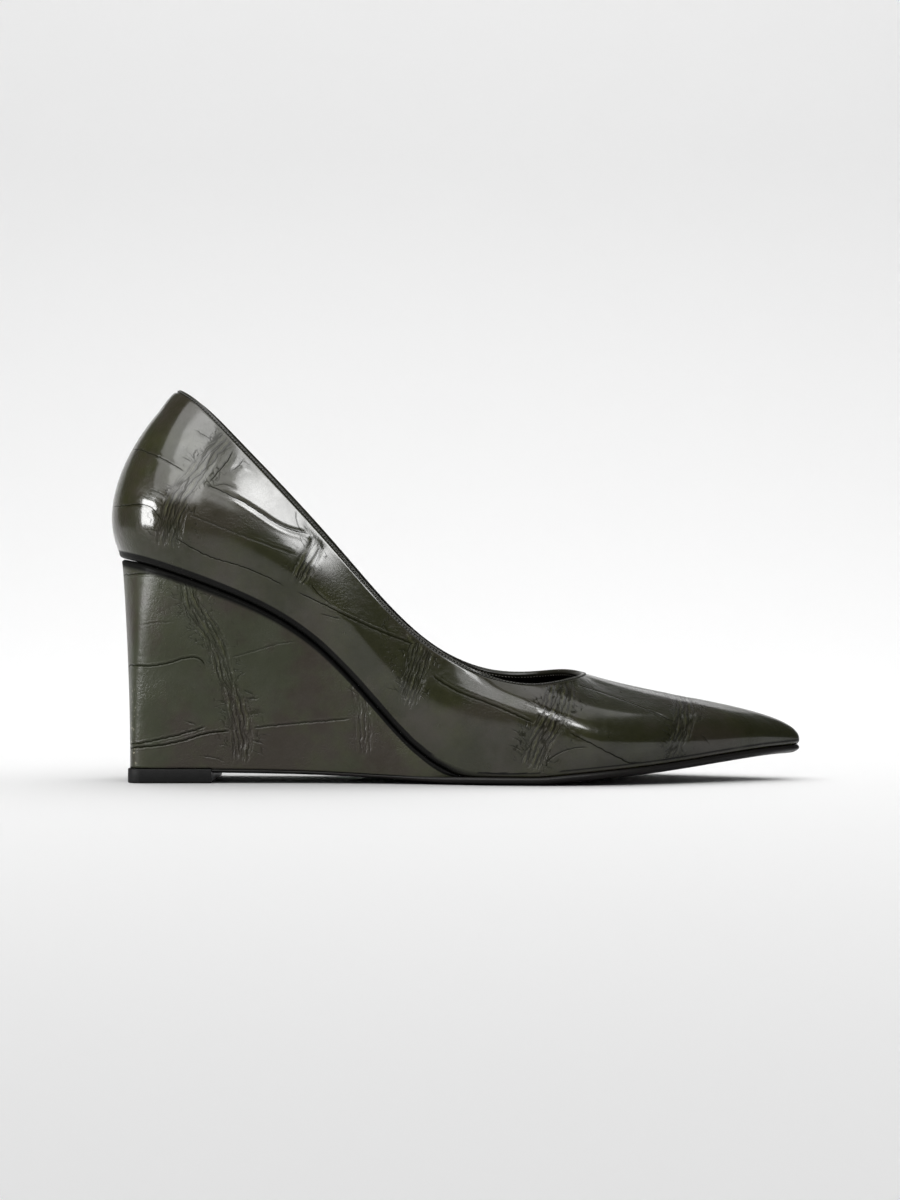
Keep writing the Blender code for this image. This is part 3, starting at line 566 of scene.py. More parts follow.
def spline(points, closed):
    """A smooth curve through points, each a row of columns, with steps as long as the first three columns
    are apart. Gives a function and the curve parameter of each point."""
    points = np.array(points, float)
    if closed:
        points = np.vstack([points, points[:1]])
    knots = np.concatenate([[0], np.cumsum(np.linalg.norm(np.diff(points[:, :3], axis=0), axis=1))])
    count = len(points)
    width = np.diff(knots)
    slope = np.diff(points, axis=0) / width[:, None]
    matrix = np.zeros((count, count))
    right = np.zeros_like(points)
    for i in range(1, count - 1):
        matrix[i, i - 1 : i + 2] = width[i - 1], 2 * (width[i - 1] + width[i]), width[i]
        right[i] = 6 * (slope[i] - slope[i - 1])
    if closed:
        matrix[0, 0], matrix[0, -1] = 1, -1
        matrix[-1, 0], matrix[-1, 1] = 2 * width[0], width[0]
        matrix[-1, -1], matrix[-1, -2] = 2 * width[-1], width[-1]
        right[-1] = 6 * (slope[0] - slope[-1])
    else:
        matrix[0, 0] = matrix[-1, -1] = 1
    bend = np.linalg.solve(matrix, right)

    def value(t):
        t = np.asarray(t, float)
        i = np.clip(np.searchsorted(knots, t) - 1, 0, count - 2)
        h = width[i][:, None]
        a = (knots[i + 1] - t)[:, None] / h
        b = 1 - a
        line = a * points[i] + b * points[i + 1]
        return line + ((a**3 - a) * bend[i] + (b**3 - b) * bend[i + 1]) * h**2 / 6

    return value, knots


def smooth(low, high, value):
    """0 below low, 1 above high, and soft in between."""
    t = np.clip((value - low) / (high - low), 0, 1)
    return t * t * (3 - 2 * t)


def side_steps(count, evenness=EVENNESS):
    """Steps from 0 to 1, closer at both ends."""
    even = np.linspace(0, 1, count)
    return evenness * even + (1 - evenness) * (0.5 - 0.5 * np.cos(np.pi * even))


def forward(side):
    """A side's places along the shoe, which never go back."""
    return np.maximum.accumulate(side[:, 0])


def resample(side, count, to_x=None):
    """count points along a plan polyline, to to_x or to its end."""
    length = np.concatenate([[0], np.cumsum(np.linalg.norm(np.diff(side, axis=0), axis=1))])
    end = length[-1] if to_x is None else np.interp(to_x, forward(side), length)
    at = side_steps(count) * end
    return np.column_stack([np.interp(at, length, side[:, k]) for k in (0, 1)])


class Last:
    """The shape that all pieces share, in metres from the heel's rearmost point."""

    def __init__(self, size):
        self.size = size
        self.heel = column_curve(BED, "heel")
        self.spring = column_curve(BED, "spring")
        self.clearance = column_curve(SHANK, "clearance")
        self.thick = column_curve(SHANK, "thick")
        self.curve, self.knots = spline(self.rows(), closed=True)
        self.tip_knot = self.knots[len(SECTIONS) - 1]
        self.top_piece_front = size.top_piece_back + size.top_piece_length
        self.wedge_tip = self.find_wedge_tip()

    def blend(self, back, front, along):
        return back + (front - back) * smooth(BLEND_FROM, BLEND_TO, along)

    def bed(self, x):
        along = np.clip(x / self.size.length, 0, 1)
        base = self.size.sole_thickness + self.size.gap
        return base + self.heel(along) * self.size.seat_rise + self.spring(along) * self.size.toe_spring

    def over_bed(self, x, lift):
        """Height at x of a surface that runs parallel to the bed, lift above it."""
        slope = (self.bed(x + SLOPE_STEP) - self.bed(x - SLOPE_STEP)) / (2 * SLOPE_STEP)
        return self.bed(x) + lift * np.sqrt(1 + slope**2)

    def sole_bottom(self, x):
        along = np.clip(x / self.size.length, 0, 1)
        return self.clearance(along) * self.size.shank_clearance + self.spring(along) * self.size.toe_spring

    def sole_top(self, x):
        along = np.clip(x / self.size.length, 0, 1)
        extra = self.size.sole_thickness - self.size.shank_thickness
        return self.sole_bottom(x) + self.size.shank_thickness + self.thick(along) * extra

    def rows(self):
        """The sections in metres, once round the shoe: feather and topline points, handles and lip."""
        size = self.size
        rows = []
        for side, sections in ((OUTER, SECTIONS), (INNER, SECTIONS[-2:0:-1])):
            for s in sections:
                chosen = (s.out, s.tout, s.hout) if side == OUTER else (s.in_, s.tin, s.hin)
                share, top_share, high = chosen
                width = self.blend(size.seat_width, size.ball_width, s.x)
                opening = self.blend(size.collar_width, size.opening_width, s.tx)
                depth = self.blend(size.collar_depth, size.throat_depth, s.tx)
                x, tx = s.x * size.length, s.tx * size.length
                low = self.over_bed(x, size.feather_radius)
                feather = [x, side * share * width, low]
                topline = [tx, side * top_share * opening, self.bed(tx) + high * depth]
                handles = [s.rise * depth, s.flare * width, s.pull, s.cheek * width, s.drop * depth]
                rows.append(feather + topline + handles + [s.lip * size.lip])
        return rows

    def around(self, count):
        """Curve parameters once round the shoe: count down the outer side, then back up the inner side."""
        outer, inner = self.both_ways(side_steps(count))
        return np.concatenate([outer, inner[-2:0:-1]])

    def feather(self, t):
        """Feather edge and its outward direction in plan."""
        end = self.knots[-1]
        front, back = self.curve(np.mod(t + FEATHER_STEP, end)), self.curve(np.mod(t - FEATHER_STEP, end))
        ahead = front[:, :2] - back[:, :2]
        ahead /= np.linalg.norm(ahead, axis=1)[:, None]
        return self.curve(t)[:, :2], np.stack([ahead[:, 1], -ahead[:, 0]], axis=1)

    def both_ways(self, steps):
        """Curve parameters from the heel to the toe, down the outer side and down the inner side."""
        return steps * self.tip_knot, self.knots[-1] - steps * (self.knots[-1] - self.tip_knot)

    def edge_sides(self, inset):
        """The outline inside the feather edge as two fine polylines from the heel to the toe."""
        outer, inner = self.both_ways(side_steps(DENSE_COUNT, DENSE_EVENNESS))
        return self.inset(outer, OUTER, inset), self.inset(inner, INNER, inset)

    def inset(self, t, side, inset):
        """Plan points inside the feather edge. At the toe they close in on the middle and don't cross it."""
        at, outward = self.feather(t)
        plan = at - outward * inset
        dense = self.both_ways(side_steps(DENSE_COUNT, DENSE_EVENNESS))
        outer, inner = (self.curve(side_knots)[:, :2] for side_knots in dense)
        x = at[:, 0]
        out_y = np.interp(x, forward(outer), outer[:, 1])
        in_y = np.interp(x, forward(inner), inner[:, 1])
        middle, half = (in_y + out_y) / 2, (in_y - out_y) / 2
        toe = x > TOE_FROM * self.size.length
        near = np.clip((x / self.size.length - TOE_FROM) / (1 - TOE_FROM), 0, 1)
        narrow = np.maximum(half - inset * TOE_SLANT, half * TOE_KEEP)
        closed = np.column_stack([x - inset * TOE_SLANT * near * near, middle + side * narrow])
        plan[toe] = closed[toe]
        return plan

    def inset_ring(self, count, inset):
        t = self.around(count)
        side = np.where(np.arange(len(t)) < count, OUTER, INNER)
        return self.inset(t, side, inset)

    def wall(self, t, levels=DENSE_COUNT // 2):
        """The upper's outer skin: for each t a column of points from the feather edge to the topline."""
        row = self.curve(t)
        outward = self.feather(t)[1]
        start, end = row[:, :3], row[:, 3:6]
        rise, flare, pull, cheek, drop, lip = (row[:, k][:, None] for k in range(6, 12))
        flat = np.column_stack([outward, np.zeros(len(t))])
        up = np.array([0, 0, 1])
        plan_back = (start - end) * np.array([1, 1, 0])
        first = start + flat * flare + up * rise
        end = end - up * lip
        second = end + plan_back * pull + flat * cheek - up * drop
        v = np.linspace(0, 1, levels)[:, None, None]
        w = 1 - v
        curve = w**3 * start + 3 * w * w * v * first + 3 * w * v * v * second + v**3 * end
        return curve + up * lip * v**LIP_SHARPNESS

    def find_wedge_tip(self):
        """Where the wedge has thinned to its front edge between the bed and the sole."""
        x = np.linspace(self.top_piece_front, TOE_FROM * self.size.length, DENSE_COUNT)
        room = self.over_bed(x, -self.size.gap) - self.sole_top(x) - self.size.gap
        return x[np.argmax(room < WEDGE_TIP_EDGE)]

    def foot_sides(self):
        """The wedge's foot as two fine polylines from the heel's centre line to the tip."""
        back, width = self.size.top_piece_back, self.size.top_piece_width
        reach = self.wedge_tip - back
        path = [(back + r.x * reach, -r.out * width, 0) for r in WEDGE_FOOT[::-1]]
        path += [(back + r.x * reach, r.in_ * width, 0) for r in WEDGE_FOOT[1:]]
        curve, knots = spline(path, closed=False)
        middle = knots[len(WEDGE_FOOT) - 1]
        outer = curve(np.linspace(middle, 0, DENSE_COUNT))[:, :2]
        inner = curve(np.linspace(middle, knots[-1], DENSE_COUNT))[:, :2]
        return outer, inner

    def sole_sides(self, inset):
        """The sole's outline: the wedge's foot behind the ball, the feather edge in front of it."""
        x = np.linspace(self.top_piece_front + self.size.gap, self.wedge_tip, DENSE_COUNT // 2)
        near_tip = np.clip((x / self.wedge_tip - JOIN_FROM) / (1 - JOIN_FROM), 0, 1) ** 2
        sides = []
        for sign, foot, edge in zip((OUTER, INNER), self.foot_sides(), self.edge_sides(inset)):
            start = np.searchsorted(forward(edge), self.wedge_tip + JOIN_GAP)
            narrow = np.interp(x, forward(foot), foot[:, 1]) - sign * inset
            joined = np.interp(self.wedge_tip, forward(edge), edge[:, 1])
            under_wedge = np.column_stack([x, narrow + (joined - narrow[-1]) * near_tip])
            sides.append(np.vstack([under_wedge, edge[start:]]))
        return sides


def climb(columns, at):
    """The columns' points at the lengths at, measured up each column from its first point."""
    steps = np.linalg.norm(np.diff(columns, axis=0), axis=2)
    length = np.vstack([np.zeros(columns.shape[1]), np.cumsum(steps, axis=0)])
    taken = np.empty((len(at), columns.shape[1], 3))
    for k in range(columns.shape[1]):
        for axis in range(3):
            taken[:, k, axis] = np.interp(at[:, k], length[:, k], columns[:, k, axis])
    return taken


def column_lengths(columns):
    return np.linalg.norm(np.diff(columns, axis=0), axis=2).sum(axis=0)


def outward_normals(grid):
    """Unit normals of a grid of rings, pointing out of the shoe."""
    along = np.roll(grid, -1, axis=1) - np.roll(grid, 1, axis=1)
    up = np.gradient(grid, axis=0)
    normal = np.cross(along, up)
    return normal / np.maximum(np.linalg.norm(normal, axis=2), 1e-12)[..., None]


class Marks:
    """Creases and bands laid on a grid of rings."""

    def __init__(self, grid, normals):
        self.points = grid.reshape(-1, 3)
        self.normals = normals.reshape(-1, 3)
        self.on_side = {}
        for side in (OUTER, INNER):
            chosen = np.flatnonzero(self.points[:, 1] * side > -MIDDLE_OVERLAP)
            tree = kdtree.KDTree(len(chosen))
            for i in chosen:
                tree.insert((self.points[i, 0], 0, self.points[i, 2]), int(i))
            tree.balance()
            self.on_side[side] = tree

    def lay(self, places, side, length):
        """A fine polyline on one side of the shoe through places in millimetres."""
        curve, knots = spline([(x * MM, 0, z * MM) for x, z in places], closed=False)
        flat = curve(np.arange(0, knots[-1], LAY_STEP))
        if side == INNER:
            flat[:, 0] += INNER_SHIFT * np.sin(np.pi * np.clip(flat[:, 0] / (INNER_STRETCH * length), 0, 1))
        path = np.empty_like(flat)
        for k, place in enumerate(flat):
            found = self.on_side[side].find_n((place[0], 0, place[2]), LAY_NEAR)
            near = np.array([self.points[i] for _, i, _ in found])
            weight = np.array([1 / (distance + LAY_BLUR) for _, _, distance in found])
            path[k] = (near * weight[:, None]).sum(axis=0) / weight.sum()
        return path

    def nearest(self, paths, reach):
        """For each point of the grid: the path nearest to it, its signed distance and its place along the
        path from 0 to 1, and how long the path is. Beyond reach the distance is reach."""
        tree = kdtree.KDTree(sum(len(path) for path, _ in paths))
        owner, share, spot, tangent, signs, lengths = [], [], [], [], [], []
        for number, (path, side) in enumerate(paths):
            way = np.gradient(path, axis=0)
            way /= np.maximum(np.linalg.norm(way, axis=1), 1e-12)[:, None]
            total = np.linalg.norm(np.diff(path, axis=0), axis=1).sum()
            for k, place in enumerate(path):
                tree.insert(place, len(owner))
                owner.append(number)
                share.append(k / (len(path) - 1))
                spot.append(place)
                tangent.append(way[k])
                signs.append(-side)
                lengths.append(total)
        tree.balance()
        count = len(self.points)
        which = np.full(count, -1)
        for i, point in enumerate(self.points):
            found = tree.find_range(point, reach)
            if found:
                which[i] = min(found, key=lambda hit: hit[2])[1]
        hit = np.flatnonzero(which >= 0)
        at = which[hit]
        spot, tangent = np.array(spot)[at], np.array(tangent)[at]
        offset = self.points[hit] - spot
        offset -= tangent * np.einsum("ij,ij->i", offset, tangent)[:, None] * 0.5
        beside = np.cross(tangent, self.normals[hit])
        sign = np.where(np.einsum("ij,ij->i", offset, beside) < 0, -1, 1) * np.array(signs)[at]
        distance = np.full(count, reach)
        distance[hit] = sign * np.linalg.norm(offset, axis=1)
        number = np.full(count, 0)
        number[hit] = np.array(owner)[at]
        place = np.zeros(count)
        place[hit] = np.array(share)[at]
        total = np.ones(count)
        total[hit] = np.array(lengths)[at]
        return number, distance, place, total, which >= 0


def crease_field(marks, creases, layer, length):
    """Signed distance in millimetres from a layer's creases, and how strong they are."""
    chosen = [crease for crease in creases if crease.layer == layer]
    paths = [(marks.lay(crease.places, side, length), side) for crease in chosen for side in (OUTER, INNER)]
    number, distance, place, total, hit = marks.nearest(paths, CREASE_REACH)
    depth = np.array([crease.depth for crease in chosen for _ in (OUTER, INNER)])[number]
    ends = smooth(0, 1, np.minimum(place, 1 - place) * total / CREASE_END)
    near = 1 - smooth(0.45 * CREASE_REACH, CREASE_REACH, np.abs(distance))
    strength = np.where(hit, depth * ends * near, 0)
    return distance / MM, strength


def band_field(marks, bands, length):
    """Across and along in millimetres, strength, and the reach of the twigs beside the bands."""
    paths = [(marks.lay(band.places, side, length), side) for band in bands for side in (OUTER, INNER)]
    number, distance, place, total, hit = marks.nearest(paths, BAND_REACH)
    rows = [band for band in bands for _ in (OUTER, INNER)]
    half = np.zeros(len(number))
    strength = np.zeros(len(number))
    for k, band in enumerate(rows):
        mine = number == k
        half[mine] = np.interp(place[mine], np.linspace(0, 1, len(band.half)), band.half)
        strength[mine] = band.strength
    across = distance / MM
    beyond = np.abs(across) / np.maximum(half, 0.1)
    inside = 1 - smooth(BAND_CORE, BAND_RIM, beyond)
    twigs = smooth(0.7, 1.1, beyond) * (1 - smooth(1.2, 3.0, beyond))
    strength *= np.where(hit, smooth(0, 1, (1 - place) * total / BAND_END), 0)
    along = place * total / MM + BAND_OFFSET * number
    return across, along, strength * inside, strength * twigs


def relief(hide, creases, band):
    """Height of the soft troughs and strands, in metres."""
    height = np.zeros(len(band[0]))
    for distance, strength in creases:
        away = np.abs(distance) * MM / hide.trough_width
        height -= hide.trough * strength * np.exp(-(away**2))
        ridge = np.exp(-((away - RIDGE_AWAY) ** 2) * RIDGE_NARROW)
        height += RIDGE_SHARE * hide.trough * strength * ridge
    across, along, strength, _ = band
    wander = 0.8 * np.sin(along / 3.1 + 1.7) + 0.45 * np.sin(along / 1.37)
    spacing = hide.strand_spacing / MM
    strands = np.cos(2 * np.pi * (across + wander) / spacing) * (0.65 + 0.35 * np.sin(along / 1.9 + across))
    cross = np.cos(2 * np.pi * (across * 0.8 - 1.3 * np.sin(along / 4.3)) / spacing + along / 2.3)
    return height + strength * (hide.strand * (0.7 * strands + 0.4 * cross) - hide.band_sink)


def ring_faces(rings, around):
    """Quads between closed rings of the same count."""
    low = np.arange(rings - 1)[:, None] * around
    high = low + around
    here = np.arange(around)[None, :]
    there = (here + 1) % around
    return np.stack([low + here, low + there, high + there, high + here], axis=-1).reshape(-1, 4)


def cap_faces(start, around, sides, shared):
    """Strips from side to side over one ring. shared is 0 where the sides meet at its first point."""
    faces = []
    for i in range(sides - 1):
        corners = [i, i + 1, (around - shared - i - 1) % around, (around - shared - i) % around]
        faces.append([start + c for k, c in enumerate(corners) if c not in corners[:k]])
    return faces


def make_piece(name, grid, replaced, material, sides=None, shared=0, fields=None):
    """A mesh from a grid of rings in shoe metres, riding on the shoe's body. With sides it is capped."""
    rings, around = grid.shape[:2]
    faces = ring_faces(rings, around).tolist()
    if sides:
        faces += [face[::-1] for face in cap_faces(0, around, sides, shared)]
        faces += cap_faces((rings - 1) * around, around, sides, shared)
    data = bpy.data.meshes.new(name)
    points = grid.reshape(-1, 3) + np.array([HEEL_X, 0, 0])
    data.from_pydata(points.tolist(), [], faces)
    data.shade_smooth()
    for field, values in (fields or {}).items():
        kind, key = ("FLOAT_VECTOR", "vector") if values.ndim == 2 else ("FLOAT", "value")
        data.attributes.new(field, kind, "POINT").data.foreach_set(key, values.astype(np.float32).ravel())
    return finish_piece(name, data, replaced, material)


def finish_piece(name, data, replaced, material):
    data.validate()
    data.materials.append(material)
    piece = bpy.data.objects.new(name, data)
    bpy.context.scene.collection.objects.link(piece)
    if replaced:
        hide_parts(replaced)
    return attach(piece, "root")


class Shader:
    """A material's nodes, added one after another."""

    def __init__(self, name):
        self.material = bpy.data.materials.new(name)
        self.material.use_nodes = True
        self.tree = self.material.node_tree
        self.surface = self.tree.nodes["Principled BSDF"]

    def add(self, kind, values=None, **settings):
        node = self.tree.nodes.new(kind)
        for key, value in settings.items():
            setattr(node, key, value)
        for key, value in (values or {}).items():
            self.give(node.inputs[key], value)
        return node

    def give(self, socket, value):
        if isinstance(value, bpy.types.NodeSocket):
            self.tree.links.new(value, socket)
        else:
            socket.default_value = value

    def sum(self, operation, a, b=0.0, c=0.0):
        """One Math node."""
        node = self.add("ShaderNodeMath", {0: a, 1: b, 2: c}, operation=operation)
        return node.outputs[0]

    def ramp(self, value, steps):
        low, high, first, last = steps
        sockets = {"Value": value, "From Min": low, "From Max": high, "To Min": first, "To Max": last}
        return self.add("ShaderNodeMapRange", sockets, interpolation_type="SMOOTHSTEP").outputs["Result"]

    def attribute(self, name):
        return self.add("ShaderNodeAttribute", attribute_name=name)

    def noise(self, where, pattern):
        scale, detail, roughness = pattern
        sockets = {"Vector": where, "Scale": scale, "Detail": detail, "Roughness": roughness}
        return self.add("ShaderNodeTexNoise", sockets).outputs["Fac"]

    def mix(self, share, a, b):
        node = self.add("ShaderNodeMix", {0: share, 6: a, 7: b}, data_type="RGBA")
        return node.outputs[2]

    def bump(self, height):
        """A bump of a height in millimetres."""
        node = self.add("ShaderNodeBump", {"Height": height, "Distance": MM})
        self.give(self.surface.inputs["Normal"], node.outputs["Normal"])

    def place(self):
        return self.add("ShaderNodeTexCoord").outputs["Object"]

    def split(self, name):
        """The three parts of a field that the mesh carries."""
        return self.add("ShaderNodeSeparateXYZ", {0: self.attribute(name).outputs["Vector"]}).outputs

    def cells(self, where, scale=1.0, randomness=1.0, dimensions="3D"):
        """Distance to the edges of Voronoi cells."""
        sockets = {"Vector": where, "Scale": scale, "Randomness": randomness}
        settings = {"feature": "DISTANCE_TO_EDGE", "voronoi_dimensions": dimensions}
        return self.add("ShaderNodeTexVoronoi", sockets, **settings).outputs["Distance"]

    def set(self, **values):
        for key, value in values.items():
            self.give(self.surface.inputs[key.replace("_", " ").title().replace("Ior", "IOR")], value)


def rgba(value):
    return (*value, 1)


def crease_nodes(shader, place):
    """Height of the fine lines in the creases, in their depths, and how much painted shade darkens them."""
    height, dark = 0.0, 0.0
    for layer in ("crease_a", "crease_b"):
        distance, strength, _ = shader.split(layer)
        wander = shader.sum("MULTIPLY_ADD", shader.noise(place, LINE_WANDER), LINE_SWAY, -LINE_SWAY / 2)
        away = shader.sum("ABSOLUTE", shader.sum("ADD", distance, wander))
        beside = shader.sum("ABSOLUTE", shader.sum("SUBTRACT", away, RIDGE_PLACE))
        line = shader.sum("SUBTRACT", shader.ramp(beside, LINE_RIDGE), shader.ramp(away, LINE_GROOVE))
        height = shader.sum("MULTIPLY_ADD", line, strength, height)
        dark = shader.sum("MAXIMUM", shader.sum("MULTIPLY", shader.ramp(away, LINE_DARK), strength), dark)
    return height, dark


def net_nodes(shader, across, along, net, slant=0.0, randomness=0.95):
    """Distance to the lines of a net that lies along a band."""
    column = shader.sum("DIVIDE", across, net.spacing)
    row = shader.sum("ADD", shader.sum("DIVIDE", along, net.reach), slant)
    where = shader.add("ShaderNodeCombineXYZ", {"X": column, "Y": row, "Z": 0.0}).outputs[0]
    return shader.cells(where, randomness=randomness, dimensions="2D")


def hide_leather(name, colours, base, hide, finish):
    """Embossed, polished hide. The mesh carries crease_a (distance, strength, black edges and the painted
    shade where upper and wedge meet), crease_b (distance, strength, light specks that are scuffs and painted
    glints), band (across, along, strength) and twig."""
    shader = Shader(name)
    place = shader.place()
    line_height, dark = crease_nodes(shader, place)
    height = shader.sum("MULTIPLY", line_height, hide.groove / MM)

    across, along, strength = shader.split("band")
    twig = shader.attribute("twig").outputs["Fac"]
    bend = shader.sum("MULTIPLY_ADD", shader.noise(place, BAND_BEND), BAND_SWAY, -BAND_SWAY / 2)
    bent = shader.sum("ADD", across, bend)
    wide = net_nodes(shader, bent, along, WIDE_NET)
    for net, away in ((WIDE_NET, wide), (FINE_NET, net_nodes(shader, bent, along, FINE_NET))):
        strands = shader.sum("MULTIPLY", shader.ramp(away, NET_HEIGHT), strength)
        height = shader.sum("MULTIPLY_ADD", strands, net.share * hide.crinkle / MM, height)
    # Painted shade in the grooves between the strands
    dark = shader.sum("MAXIMUM", dark, shader.sum("MULTIPLY", shader.ramp(wide, NET_DARK), strength))
    # Painted highlight on the crests of the strands
    crest_highlight = shader.sum("MULTIPLY", shader.ramp(wide, NET_CREST_HIGHLIGHT), strength)

    slant = shader.sum("MULTIPLY", across, TWIG_SLANT)
    twigs = net_nodes(shader, bent, along, TWIG_NET, slant, randomness=1.0)
    some = shader.sum("MULTIPLY", shader.ramp(shader.noise(place, TWIG_PATCHES), TWIG_SOME), twig)
    line = shader.sum("MULTIPLY", shader.ramp(twigs, TWIG_GROOVE), some)
    height = shader.sum("MULTIPLY_ADD", line, hide.twig / MM, height)
    # Painted shade in the twigs' grooves
    dark = shader.sum("MAXIMUM", dark, shader.sum("MULTIPLY", shader.ramp(twigs, TWIG_DARK), some))

    patches = shader.ramp(shader.noise(place, PORE_PATCHES), PORE_SOME)
    pores = shader.sum("MULTIPLY", shader.ramp(shader.cells(place, PORE_SCALE), PORE_GROOVE), patches)
    fine, wide_swell = shader.noise(place, FINE_SWELL), shader.noise(place, WIDE_SWELL)
    swell = shader.sum("MULTIPLY_ADD", fine, SWELL_SHARE, wide_swell)
    height = shader.sum("MULTIPLY_ADD", pores, PORE_SHARE * hide.grain / MM, height)
    height = shader.sum("MULTIPLY_ADD", swell, hide.grain / MM, height)
    shader.bump(height)

    # The joint's painted shade and the corners' painted glints come from the mesh
    ink_and_joint_shade, scuff_and_glint = shader.split("crease_a")[2], shader.split("crease_b")[2]
    light = shader.sum("MULTIPLY", shader.ramp(shader.noise(place, LIGHT_CLOUDS), LIGHT_SOME), LIGHT_SHARE)
    brown = shader.ramp(shader.noise(place, BROWN_CLOUDS), Ramp(0.42, 0.62, 0.0, 2.0 * finish.mottled))
    # Light specks: scuffs, with painted glints
    scuffs_and_glints = shader.sum("MULTIPLY", shader.ramp(shader.noise(place, SCUFF_GLINT_SPECKS), SCUFF_GLINT_SOME), scuff_and_glint)
    tone = rgba(base)
    # Mixed into the colour: random lighter and browner clouds, the painted highlight on the bands' crests,
    # painted shade in the grooves, black edges with painted shade at the joint, and light specks that are
    # scuffs and painted glints
    for share, colour_over in (
        (light, colours.leather_rubbed_and_highlight),
        (brown, colours.leather_brown),
        (shader.sum("MULTIPLY", crest_highlight, CREST_HIGHLIGHT_SHARE), colours.leather_rubbed_and_highlight),
        (shader.sum("MULTIPLY", dark, DARK_SHARE), colours.leather_groove_shade),
        (ink_and_joint_shade, colours.edge),
        (scuffs_and_glints, colours.scuffs_and_glints),
    ):
        tone = shader.mix(share, tone, rgba(colour_over))

    roughness = finish.rough - SHEEN_RANGE / 2
    sheen = shader.noise(place, SHEEN_PATCHES)
    for share, added in ((sheen, SHEEN_RANGE), (strength, BAND_ROUGH), (ink_and_joint_shade, INK_ROUGH)):
        roughness = shader.sum("MULTIPLY_ADD", share, added, roughness)
    dull = shader.sum("MAXIMUM", dark, shader.sum("MULTIPLY", ink_and_joint_shade, INK_DULL))
    polish = shader.ramp(shader.noise(place, POLISH_PATCHES), Ramp(0.35, 0.62, 1 - finish.mottled, 1.0))
    bright = shader.sum("MULTIPLY", shader.sum("SUBTRACT", 1.0, dull), polish)
    gloss = shader.sum("MULTIPLY", bright, finish.gloss)
    coat = shader.sum("MULTIPLY", bright, finish.coat)
    shader.set(base_color=tone, roughness=roughness, specular_ior_level=gloss)
    shader.set(coat_weight=coat, coat_roughness=finish.coat_rough, coat_ior=1.5)
    return shader.material


def grained(name, base, finish):
    """A matt black finish with a fine grain: lining leather, sock, rubber or sole."""
    shader = Shader(name)
    place = shader.place()
    grain = shader.ramp(shader.cells(place, finish.scale), GRAIN_GROOVE)
    cloud = shader.noise(place, Pattern(finish.scale * 0.12, 4.0, 0.6))
    height = shader.sum("MULTIPLY_ADD", grain, 0.6, cloud)
    shader.bump(shader.sum("MULTIPLY", height, finish.depth / MM))
    light = tinted(base, finish.lighter)
    tone = shader.mix(shader.sum("MULTIPLY", cloud, 0.5), rgba(base), rgba(light))
    sheen = shader.noise(place, Pattern(finish.scale * 0.4, 2.0))
    roughness = shader.sum("MULTIPLY_ADD", sheen, 0.2, finish.rough - 0.1)
    shader.set(base_color=tone, roughness=roughness, specular_ior_level=0.15)
    return shader.material


def twisted_thread(name, base):
    shader = Shader(name)
    sockets = {"Vector": shader.place(), "Scale": THREAD_SCALE, "Distortion": 1.5, "Detail": 1.0}
    settings = {"wave_type": "BANDS", "bands_direction": "DIAGONAL"}
    twist = shader.add("ShaderNodeTexWave", sockets, **settings).outputs["Fac"]
    shader.bump(shader.sum("MULTIPLY", twist, 0.03))
    tone = shader.mix(shader.sum("MULTIPLY", twist, 0.5), rgba(base), rgba(tinted(base, -0.5)))
    shader.set(base_color=tone, roughness=0.55, sheen_weight=0.2)
    return shader.material


def tinted(value, share):
    """A colour made lighter by a share."""
    return tuple(min(1.0, c * (1 + share)) for c in value)


def wall_grid(last, count, levels):
    """The outer skin as rings up to just under the topline, and each ring's length below the topline."""
    columns = last.wall(last.around(count))
    total = column_lengths(columns)
    main = np.linspace(0, 1, levels)[:, None] * (total - RIM_HEIGHT)[None, :]
    rim = np.linspace(RIM_HEIGHT, FOLD_HEIGHT, RIM_COUNT + 1)[1:, None]
    at = np.vstack([main, total[None, :] - rim])
    return climb(columns, at), total[None, :] - at


def wall_thickness(last, grid):
    """How thick the wall may be, less towards the toe tip where its two sides meet."""
    room = smooth(1.0, 0.86, grid[..., 0] / last.size.length)
    return last.size.wall * (0.2 + 0.8 * room)


def folded_edge(last, grid, normals):
    """Rings over the topline and down its inner side."""
    top, out = grid[-1], normals[-1]
    up = grid[-1] - grid[-2]
    up /= np.linalg.norm(up, axis=1)[:, None]
    thick = wall_thickness(last, grid)[-1][:, None]
    middle = top - out * thick / 2
    rings = []
    for angle in np.linspace(0, np.pi, FOLD_COUNT + 1)[1:]:
        rings.append(middle + out * thick / 2 * np.cos(angle) + up * FOLD_HEIGHT * np.sin(angle))
    rings.append(rings[-1] - up * LINING_EDGE)
    return np.array(rings)


def turned_under(last, count):
    """Rings from the lasted margin to just before the feather edge."""
    radius = last.size.feather_radius
    rings = []
    levels = [(last.size.margin, 0), (TURN_START, 0)]
    for share in np.linspace(1, 0, TURN_COUNT + 1)[:-1]:
        levels.append((1.15 * radius * share**2, radius * (1 - share) ** 2))
    for inset, lift in levels:
        plan = last.inset_ring(count, inset)
        rings.append(np.column_stack([plan, last.over_bed(plan[:, 0], lift)]))
    return np.array(rings)


def joint_shade_width(size, x):
    """How wide the painted shade is, in black, where the upper sits on the wedge: widest at the heel."""
    along = x / size.length
    less = BLACK_LESS_ARCH * smooth(*BLACK_ARCH, along)
    return (BLACK_WIDTH - less - BLACK_LESS_TIP * smooth(*BLACK_TIP, along)) * MM


